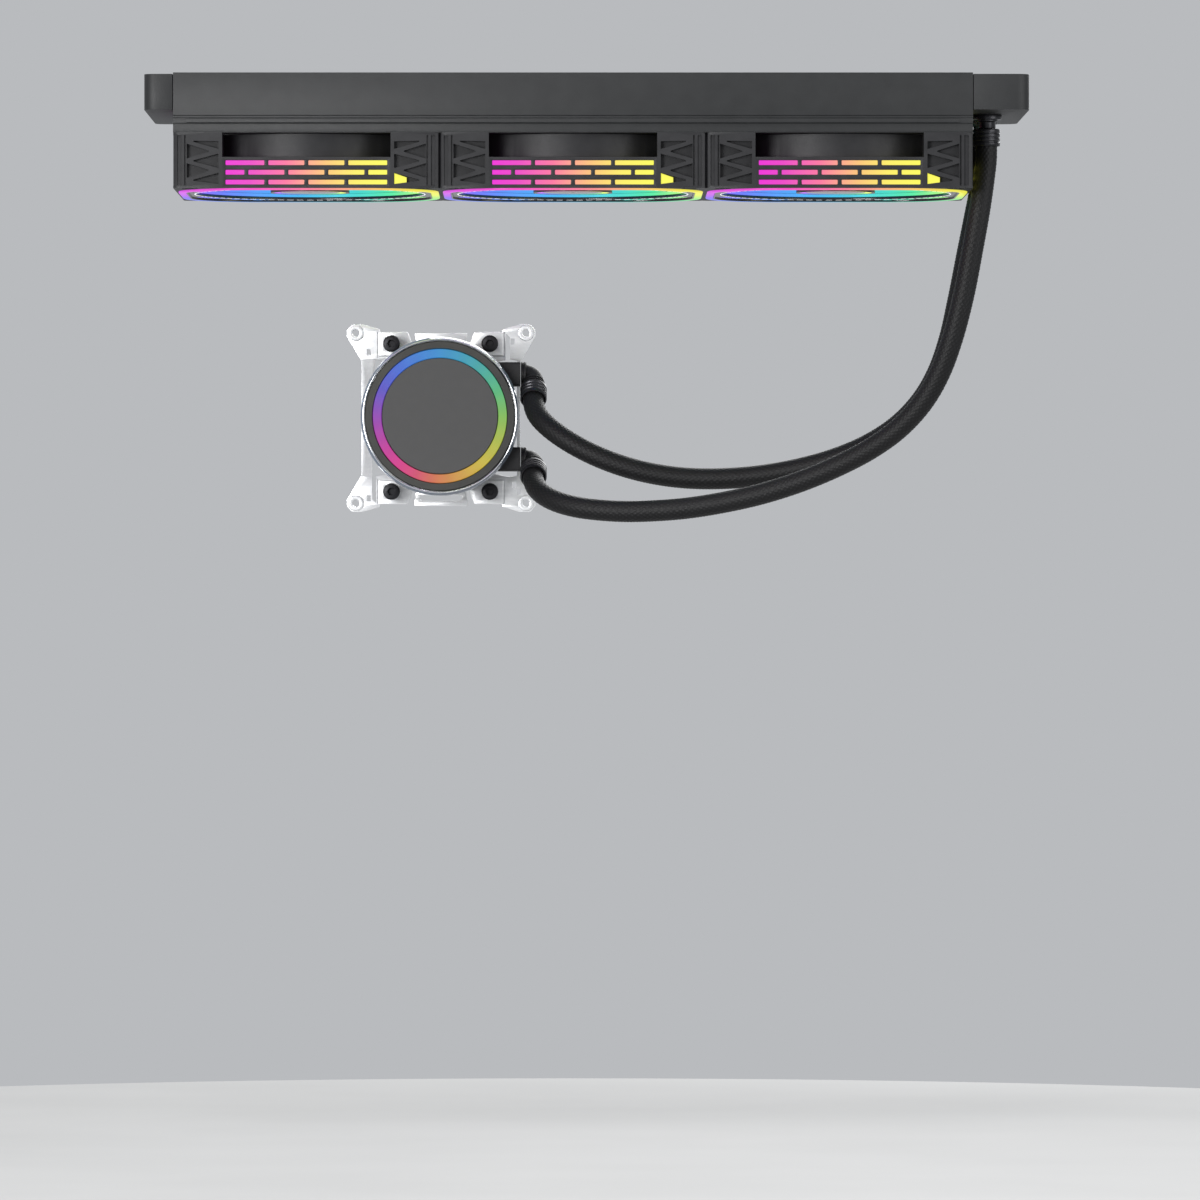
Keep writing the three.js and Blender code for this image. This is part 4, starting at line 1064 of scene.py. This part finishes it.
def fan_meshes():
    """Every mesh of a fan with its name, finish, slot and the node it stands for: still, then turning."""
    hub_rim = lathe(fillet([
        (16.7, -24.4), (18.05, -24.4), (18.05, -20.0), (17.9, -20.0), (17.9, -23.0), (16.7, -23.0),
    ], 0.2, 2), 96)
    hub_ring = lathe(fillet(rectangle(14.0, 16.6, -23.6, -24.3), 0.2, 2), 96)
    mirror = lathe([
        (0, -22.3), (13.8, -22.3), (13.8, -23.9), (13.4, -24.2), (0.9, -24.2), (0.7, -24.0), (0, -24.0),
    ], 96)
    lip = merged([
        lathe(rectangle(51.9, 52.3, -23.7, FLOOR_TOP - 0.1), 160),
        lathe(rectangle(DUCT_INNER - 0.2, DUCT_INNER + 0.3, -22.1, -19.4), 160),
    ])
    screws = merged(at_corners(cross_head_screw(), FAN_HOLE, SCREW_SEAT))
    ring = plate(rounded_square(118.0, 35.0, 24), [rounded_square(111.2, 31.6, 24)], -25.8, -23.8, 0.45)
    trim = merged([
        plate(rounded_square(110.8, 31.4, 24), [circle(FACE_OPENING, 128)], -25.0, -23.8, 0.15),
        plate(rounded_square(111.0, 31.5, 24), [rounded_square(109.6, 30.8, 24)], -25.75, -24.5, 0.15),
    ])
    still = [
        ("fan_shell", mesh_of(frame_shape(), 0.12, 1), FRAME_PLASTIC, "black_plastic", "fan_frame"),
        ("fan_face_trim", mesh_of(trim), TRIM_PLASTIC, "trim_plastic", "fan_trim"),
        ("fan_face_ring", mesh_of(ring), FAN_LIGHT, "light_diffuser", "fan_light_ring"),
        ("fan_side_bars", mesh_of(side_light_shape(), 0.08, 1), BAR_LIGHT, "side_diffuser", "fan_side_light"),
        ("fan_corner_wedge", mesh_of(corner_light_shape(), 0.08, 1), BAR_LIGHT, "side_diffuser", None),
        ("fan_lip_glow", mesh_of(lip), LIP_LIGHT, "light_diffuser", None),
        ("fan_face_lines", mesh_of(face_lines_shape()), LINE_LIGHT, "light_diffuser", None),
        ("fan_face_dashes", mesh_of(face_dashes_shape()), WHITE_LIGHT, "hub_diffuser", None),
        ("fan_screws", mesh_of(screws, 0.12, 1), SCREW_BLACK, "screw_black", None),
    ]
    turning = [
        ("fan_blades", mesh_of(rotor_shape(), sharp=40), BLADE_PLASTIC, "milky_plastic", "fan_rotor"),
        ("fan_hub_rim", mesh_of(hub_rim), TRIM_PLASTIC, "trim_plastic", None),
        ("fan_hub_ring", mesh_of(hub_ring), HUB_LIGHT, "hub_diffuser", "fan_hub_light"),
        ("fan_hub_mirror", mesh_of(mirror), SMOKED_MIRROR, "trim_plastic", None),
    ]
    return still, turning


def cross_head_screw():
    """A pan head with a cross recess, and the shank that runs through the fan to the rail."""
    head = lathe([(0, 0.4), (3.5, 0.4), (3.5, -0.7), (3.2, -1.4), (2.2, -1.9), (0, -2.0)], 32)
    shank = lathe([(0, 0.2), (1.75, 0.2), (1.75, 25.0), (1.3, 25.4), (0, 25.4)], 20)
    return merged([cut(head, *cross(2.0, 0.42, -2.6, -0.9)), shank])


def cross(reach, half, z0, z1):
    """The two bars of a cross recess."""
    return [
        block(-reach, reach, -half, half, z0, z1),
        block(-half, half, -reach, reach, z0, z1),
    ]


def add_fans():
    still, turning = fan_meshes()
    for index, x in enumerate(FAN_CENTRES, 1):
        place = at(x, 0, -RADIATOR_DEPTH)
        for body, parts in (("cooler", still), (f"fan_rotor_{index}", turning)):
            for name, mesh, material, slot, node in parts:
                stands_for = [f"{node}_{index}"] if node else []
                put(f"{name}_{index}", mesh, material, body, place, stands_for)


# ---- Pump head ----


def pump_body_shape():
    """The round housing with a flange, a waist, flutes round its side, and two port blocks."""
    profile = fillet([
        (0, 5), (34, 5), (34, 8.8), (31, 8.8), (31, 12.5), (33.5, 12.5), (33.5, 44.6), (29, 44.6),
        (29, 40), (0, 40),
    ], 0.5, 2, closed=False)
    body = lathe(profile, 128)
    bore = turned(drum(PORT_BORE, -4, 4, 32), TURN / 4, "Y")
    blocks, bores = [], []
    for y in (-PORT_SPREAD, PORT_SPREAD):
        outline = fillet(rectangle(y - 5.6, y + 5.6, PORT_HEIGHT - 7, PORT_HEIGHT + 7), 1.2, 3)
        blocks.append(bar_along_x(outline, 22, PORT_REACH))
        bores.append(shifted(bore, PORT_REACH, y, PORT_HEIGHT))
    bands = [lathe(rectangle(33.1, 35, z, z + 0.7), 128) for z in (15.5, 41.6)]
    flute = block(33.0, 35.0, -0.45, 0.45, 18.5, 39.0)
    flute_count, ports_end = 72, 0.86
    flutes = []
    for k in range(flute_count):
        angle = k * TURN / flute_count
        beside_the_ports = abs(math.sin(angle)) < ports_end and math.cos(angle) > 0
        if not beside_the_ports:
            flutes.append(turned(flute, angle))
    return cut(joined(body, *blocks), *bores, *bands, merged(flutes))


def corner_outline(sx, sy):
    """One ear and the corner of the sheet behind it."""
    points = [
        (13.0, 33.0), (15.2, 40.2), (28.6, 40.2), (28.6, 41.7), (37.2, 44.1), (41.8, 44.1),
        (44.3, 41.4), (44.3, 38.2), (37.4, 26.6), (32.4, 27.6), (24.0, 26.0), (16.0, 29.0),
    ]
    return flipped(fillet(points, 1.6, 4), sx, sy)


def bracket_shape():
    """The stamped sheet: ears, middle bars with end tabs, side bars, a hub ring, slits and key holes."""
    back, front = BRACKET_BACK, BRACKET_FRONT
    below, above = back - 1, front + 1
    sheets = []
    for sx, sy in CORNERS:
        holes = [
            circle(1.6, 24, sx * EAR_REACH, sy * EAR_REACH),
            circle(2.4, 24, sx * SCREW_X, sy * SCREW_Y),
        ]
        sheets.append(plate(corner_outline(sx, sy), holes, back, front, 0.25))
    bars = [
        [(-12.4, 39.9), (12.4, 39.9), (11.6, 34.0), (-11.6, 34.0)],
        [
            (-12.6, -41.2), (12.6, -41.2), (12.6, -38.0), (9.6, -38.0),
            (9.0, -38.9), (-9.0, -38.9), (-9.6, -38.0), (-12.6, -38.0),
        ],
        rectangle(-11.6, 11.6, -33.0, -36.2),
        rectangle(-12.0, -9.9, -35.0, -39.5),
        rectangle(12.0, 9.9, -35.0, -39.5),
        [(-37.4, 28.5), (-31.0, 28.5), (-33.6, 6.0), (-33.6, -6.0), (-31.4, -28.5), (-37.4, -28.5)],
        rectangle(35.7, 37.2, 28.5, -28.5),
    ]
    # Each bar is a hair thinner than the last, so that no two of them share a face.
    for step, bar in enumerate(bars, 1):
        thinner = 0.004 * step
        sheets.append(plate(fillet(bar, 0.4, 2), [], back + thinner, front - thinner, 0.2))
    sheets.append(plate(circle(35.2, 96), [circle(31.7, 96)], back + 0.05, front - 0.05, 0.2))
    slit = [(30.4, 20.0), (32.4, 20.0), (32.4, 38.2), (30.4, 39.8)]
    openings = [extrude(flipped(slit, s, s), below, above) for s in (1, -1)]
    for x, y in ((33.7, 36.0), (-33.9, -37.6), (-33.9, 31.0), (34.3, -31.4), (36.5, -34.2)):
        openings.append(block(x - 0.9, x + 0.9, y - 1.4, y + 1.4, below, above))
    openings += [shifted(drum(1.4, below, above, 24), x, -39.4) for x in (-14.2, 14.2)]
    crease = [(14.6, 28.4), (30.0, 28.4), (30.0, 40.6), (29.4, 40.6), (29.4, 29.0), (14.6, 29.0)]
    openings += [extrude(flipped(crease, sx, sy), front - 0.9, above) for sx, sy in CORNERS]
    return cut(joined(*sheets), *openings)


def bracket_pads_shape():
    """The raised pads under the screws, and the bosses round the ears' holes."""
    outline = fillet([(13.4, 33.6), (15.6, 40.4), (29.3, 40.4), (29.3, 29.2), (17.0, 29.2)], 0.5, 2)
    boss = lathe(fillet([(1.75, 10.8), (3.9, 10.8), (3.4, 12.2), (1.75, 12.2)], 0.3, 2), 40)
    pads = []
    for sx, sy in CORNERS:
        hole = circle(2.5, 24, sx * SCREW_X, sy * SCREW_Y)
        low, high = BRACKET_FRONT - 0.3, BRACKET_FRONT + 1.3
        pads.append(plate(flipped(outline, sx, sy), [hole], low, high, 0.3))
        pads.append(shifted(boss, sx * EAR_REACH, sy * EAR_REACH))
    return merged(pads)


def spring_screw_shape():
    """A captive screw: a knurled round head with a hex socket, its shank, collar and threaded tip."""
    sides, threads, pitch = 96, 9, 0.7
    knurl = []
    for k in range(sides):
        radius = 4.0 if k % 4 < 2 else 3.86
        knurl.append((radius * math.cos(k * TURN / sides), radius * math.sin(k * TURN / sides)))
    socket = extrude(circle(1.9, 6), 22.2, 26)
    head = cut(extrude(knurl, 20.4, 24.2), socket)
    cap = cut(lathe([(0, 24.1), (3.9, 24.1), (3.5, 24.4), (0, 24.4)], 64), socket)
    shank = [(0, -2.0), (1.5, -2.0)]
    for k in range(threads):
        z = -1.6 + k * pitch
        shank += [(1.88, z), (1.6, z + 0.35)]
    shank += [(1.9, 5.2), (1.9, 7.6), (3.0, 7.6), (3.0, 8.8), (1.9, 8.8), (1.9, 20.5), (0, 20.5)]
    return merged([head, cap, lathe(shank, 28)])


def spring_line():
    """The middle of the spring's wire, whose turns lie closer together at the ends."""
    low, high, radius, turns, steps = 11.7, 19.8, 3.0, 5.5, 160
    line = []
    for k in range(steps + 1):
        share = k / steps
        eased = share - 0.11 * math.sin(TURN * share)
        angle = share * turns * TURN
        line.append((radius * math.cos(angle), radius * math.sin(angle), low + (high - low) * eased))
    return line


def cap_pieces():
    """The lit cap's rings and disc, each with its finish, slot and the node it stands for."""
    band = [
        (34, 44.9), (35.0, 44.9), (35.0, 53.9), (34.5, 54.4), (31.6, 54.4), (31.4, 54.2), (31.4, 46.6),
        (34, 46.6),
    ]
    ring = [(27.2, 46.6), (31.1, 46.6), (31.1, 54.3), (30.9, 54.5), (27.4, 54.5), (27.2, 54.3)]
    disc = [(0, 46.6), (26.9, 46.6), (26.9, 54.15), (26.65, 54.4), (0, 54.4)]
    chrome = fillet(rectangle(35.3, 35.9, 53.2, 55.0), 0.28, 3)
    skirt = fillet([(35.2, 46.4), (37.0, 46.4), (36.9, 48.4), (36.1, 52.9), (35.2, 52.9)], 0.35, 3)
    return [
        ("pump_cap_band", band, CAP_BAND, "cap_band", "cap_band"),
        ("pump_cap_light", ring, CAP_LIGHT, "cap_diffuser", "cap_light_ring"),
        ("pump_cap_disc", disc, CAP_DISC, "cap_disc", "cap_disc"),
        ("pump_cap_chrome", chrome, CHROME, "chrome_trim", "cap_chrome_ring"),
        ("pump_cap_bevel", skirt, CLEAR, "clear_plastic", "cap_clear_skirt"),
    ]


def add_plate_screws():
    """The small countersunk screws that hold the cold plate, seen from the processor's side."""
    count, reach = 8, 24.2
    head = cut(drum(1.7, 0.9, 0.02, 28), *cross(1.2, 0.25, -0.5, 0.4))
    angles = [(k + 0.5) * TURN / count for k in range(count)]
    screws = [shifted(head, reach * math.cos(a), reach * math.sin(a), -0.3) for a in angles]
    put("cold_plate_screws", mesh_of(merged(screws), 0.08, 1), SPRING_STEEL,
        place=PUMP_PLACE)


def add_screws():
    """The captive screws, and their springs, each spring with a mesh of its own."""
    screw = mesh_of(spring_screw_shape(), 0.12, 1)
    spring = mesh_of(sweep(spring_line(), 0.38, 10))
    for index, (sx, sy) in enumerate(CORNERS, 1):
        place = PUMP_PLACE @ at(sx * SCREW_X, sy * SCREW_Y)
        put(f"captive_screw_piece_{index}", screw, SCREW_BLACK,
            f"captive_screw_{index}", place, [f"spring_screw_{index}"])
        coil = put(f"captive_spring_{index}", spring, SPRING_STEEL, place=place,
                   replaces=[f"screw_spring_{index}"])
        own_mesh(coil)


def elbow_line():
    """The middle of an elbow: out of its port, round a quarter turn and down its leg."""
    bend, steps = 4.6, 12
    start = ELBOW_RUN - bend
    line = [(x, 0, 0) for x in (0.0, start)]
    for k in range(1, steps + 1):
        angle = k / steps * TURN / 4
        line.append((start + bend * math.sin(angle), 0, -bend + bend * math.cos(angle)))
    return [*line, (ELBOW_RUN, 0, -ELBOW_LEG)]


def add_elbow(name, y, swivel):
    """A swivel elbow: a grooved nut on the port, the bend, two ribs on its leg, then the collar."""
    place = at(PUMP_X + PORT_REACH + 0.2, PUMP_Y - PORT_HEIGHT, PUMP_Z + y)
    place = place @ Matrix.Rotation(math.radians(-swivel), 4, "X")
    bend = sweep(elbow_line(), 4.55, 40)
    grooved = [
        (0, 0.02), (5.5, 0.02), (5.8, 0.3), (5.8, 0.8), (5.4, 0.95), (5.4, 1.25), (5.8, 1.4), (5.8, 2.2),
        (5.4, 2.6), (0, 2.6),
    ]
    nut = turned(lathe(grooved, 56), TURN / 4, "Y")
    sections = [fillet(rectangle(4.3, 5.15, z, z - 0.7), 0.2, 2) for z in (-5.6, -7.0)]
    ribs = [shifted(lathe(section, 48), ELBOW_RUN) for section in sections]
    put(f"{name}_pump_elbow", mesh_of(merged([bend, nut, *ribs])), BLACK_PLASTIC,
        place=place, replaces=[f"{name}_elbow"])
    put(f"{name}_pump_collar", mesh_of(collar_shape()), FITTING,
        place=place @ at(ELBOW_RUN, 0, -ELBOW_LEG - 0.3), replaces=[f"{name}_ferrule"])


def add_pump():
    put("pump_housing", mesh_of(pump_body_shape(), 0.15, 1), BLACK_PLASTIC,
        place=PUMP_PLACE, replaces=["pump_body"])
    for name, profile, material, slot, node in cap_pieces():
        put(name, mesh_of(lathe(profile, 160)), material, place=PUMP_PLACE, replaces=[node])
    put("bracket_frame", mesh_of(bracket_shape()), BRACKET_STEEL, place=PUMP_PLACE,
        replaces=["retention_bracket"])
    put("bracket_pads", mesh_of(bracket_pads_shape()), BRACKET_STEEL, place=PUMP_PLACE)
    add_plate_screws()
    add_screws()
    add_elbow("upper", PORT_SPREAD, 45)
    add_elbow("lower", -PORT_SPREAD, 60)


# ---- Hoses ----


def add_hose(name, route):
    """A tube whose surface is raised where its braid's strands cross over."""
    ring_step, sides = 0.00052, 96
    strands, lay, deep = 18, 0.62, 0.22
    line, length = spaced(catmull_rom(route, 24), ring_step)
    vertices, painted_braid_shading = [], []
    for i, (centre, normal, side) in enumerate(frames_along(line)):
        travelled = i * length / (len(line) - 1) / MM
        for k in range(sides):
            angle = k * TURN / sides
            first = math.sin(strands / 2 * (angle + travelled * lay / HOSE_RADIUS))
            second = math.sin(strands / 2 * (angle - travelled * lay / HOSE_RADIUS))
            crown = abs(first * second) ** 1.6
            painted_braid_shading.append(crown)
            radius = (HOSE_RADIUS - 0.02 - deep * (1 - crown)) * MM
            vertices.append(centre + (normal * math.cos(angle) + side * math.sin(angle)) * radius)
    mesh = bpy.data.meshes.new(name)
    mesh.from_pydata(vertices, [], tube_faces(len(line), sides))
    mesh.polygons.foreach_set("use_smooth", [True] * len(mesh.polygons))
    # Each point's crown value is kept for the sleeve's colour, which paints shade in the valleys and a
    # highlight on the crowns.
    mesh.attributes.new("painted_braid_shading", "FLOAT", "POINT").data.foreach_set("value", painted_braid_shading)
    hose = put(f"{name}_sleeved_hose", mesh, SLEEVE, replaces=[f"{name}_hose"])


# ---- Pieces that keep their CAD shape ----


def dress_inner_parts():
    """The parts inside the pump and the fans' motors keep their CAD meshes."""
    inner = {
        "cold_plate": COPPER, "plate_gasket": RUBBER, "jet_plate": WHITE_PLASTIC, "impeller": BLACK_PLASTIC,
        "impeller_shaft": CERAMIC, "pump_stator": WINDING, "motor_board": BOARD, "light_board": BOARD,
    }
    for index in range(1, FAN_COUNT + 1):
        inner[f"fan_stator_{index}"] = WINDING
    for name, material in inner.items():
        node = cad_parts[name]
        node.data.materials.clear()
        node.data.materials.append(material)
        modifier = node.modifiers.new("edges", "BEVEL")
        modifier.width = 0.00018
        modifier.segments = 2
        modifier.limit_method = "ANGLE"
        modifier.angle_limit = math.radians(40)


# ---- Stage ----


def add_floor():
    """A pale round floor below the hanging cooler."""
    radius, below, thick = 560.0, -484.0, 5.0
    made = Finish("floor", Roughness=0.75)
    made.colour(made.ramp(made.noise(9.0, 3.0), coloured([(0.3, "B9B9B8"), (0.7, "BDBDBC")])))
    mesh = mesh_of(drum(radius, below, below - thick, 128))
    mesh.materials.append(made.material)
    floor = bpy.data.objects.new("floor", mesh)
    bpy.context.scene.collection.objects.link(floor)


def add_light(name, place, target, size, power):
    data = bpy.data.lights.new(name, "AREA")
    data.shape = "DISK"
    data.size = size
    data.energy = power
    light = bpy.data.objects.new(name, data)
    light.location = place
    light.rotation_euler = (Vector(target) - Vector(place)).to_track_quat("-Z", "Y").to_euler()
    bpy.context.scene.collection.objects.link(light)


def add_lighting():
    world = bpy.data.worlds.new("studio")
    world.use_nodes = True
    background = world.node_tree.nodes["Background"]
    background.inputs["Color"].default_value = rgb("B9BBBE")
    background.inputs["Strength"].default_value = 1.0
    bpy.context.scene.world = world
    middle = (-0.02, 0.05, -0.12)
    add_light("key", (-0.9, -1.7, -0.05), middle, 0.8, 24.0)
    add_light("top", (-0.4, -0.9, 1.3), middle, 1.0, 16.0)
    add_light("fill", (1.3, -1.1, 0.1), middle, 1.2, 10.0)
    add_light("back", (0.4, 1.5, 0.6), middle, 1.2, 16.0)
    bpy.context.scene.view_settings.view_transform = "Standard"


add_radiator()
add_fans()
add_pump()
add_hose("upper", UPPER_HOSE_ROUTE)
add_hose("lower", LOWER_HOSE_ROUTE)
dress_inner_parts()
add_floor()
add_lighting()
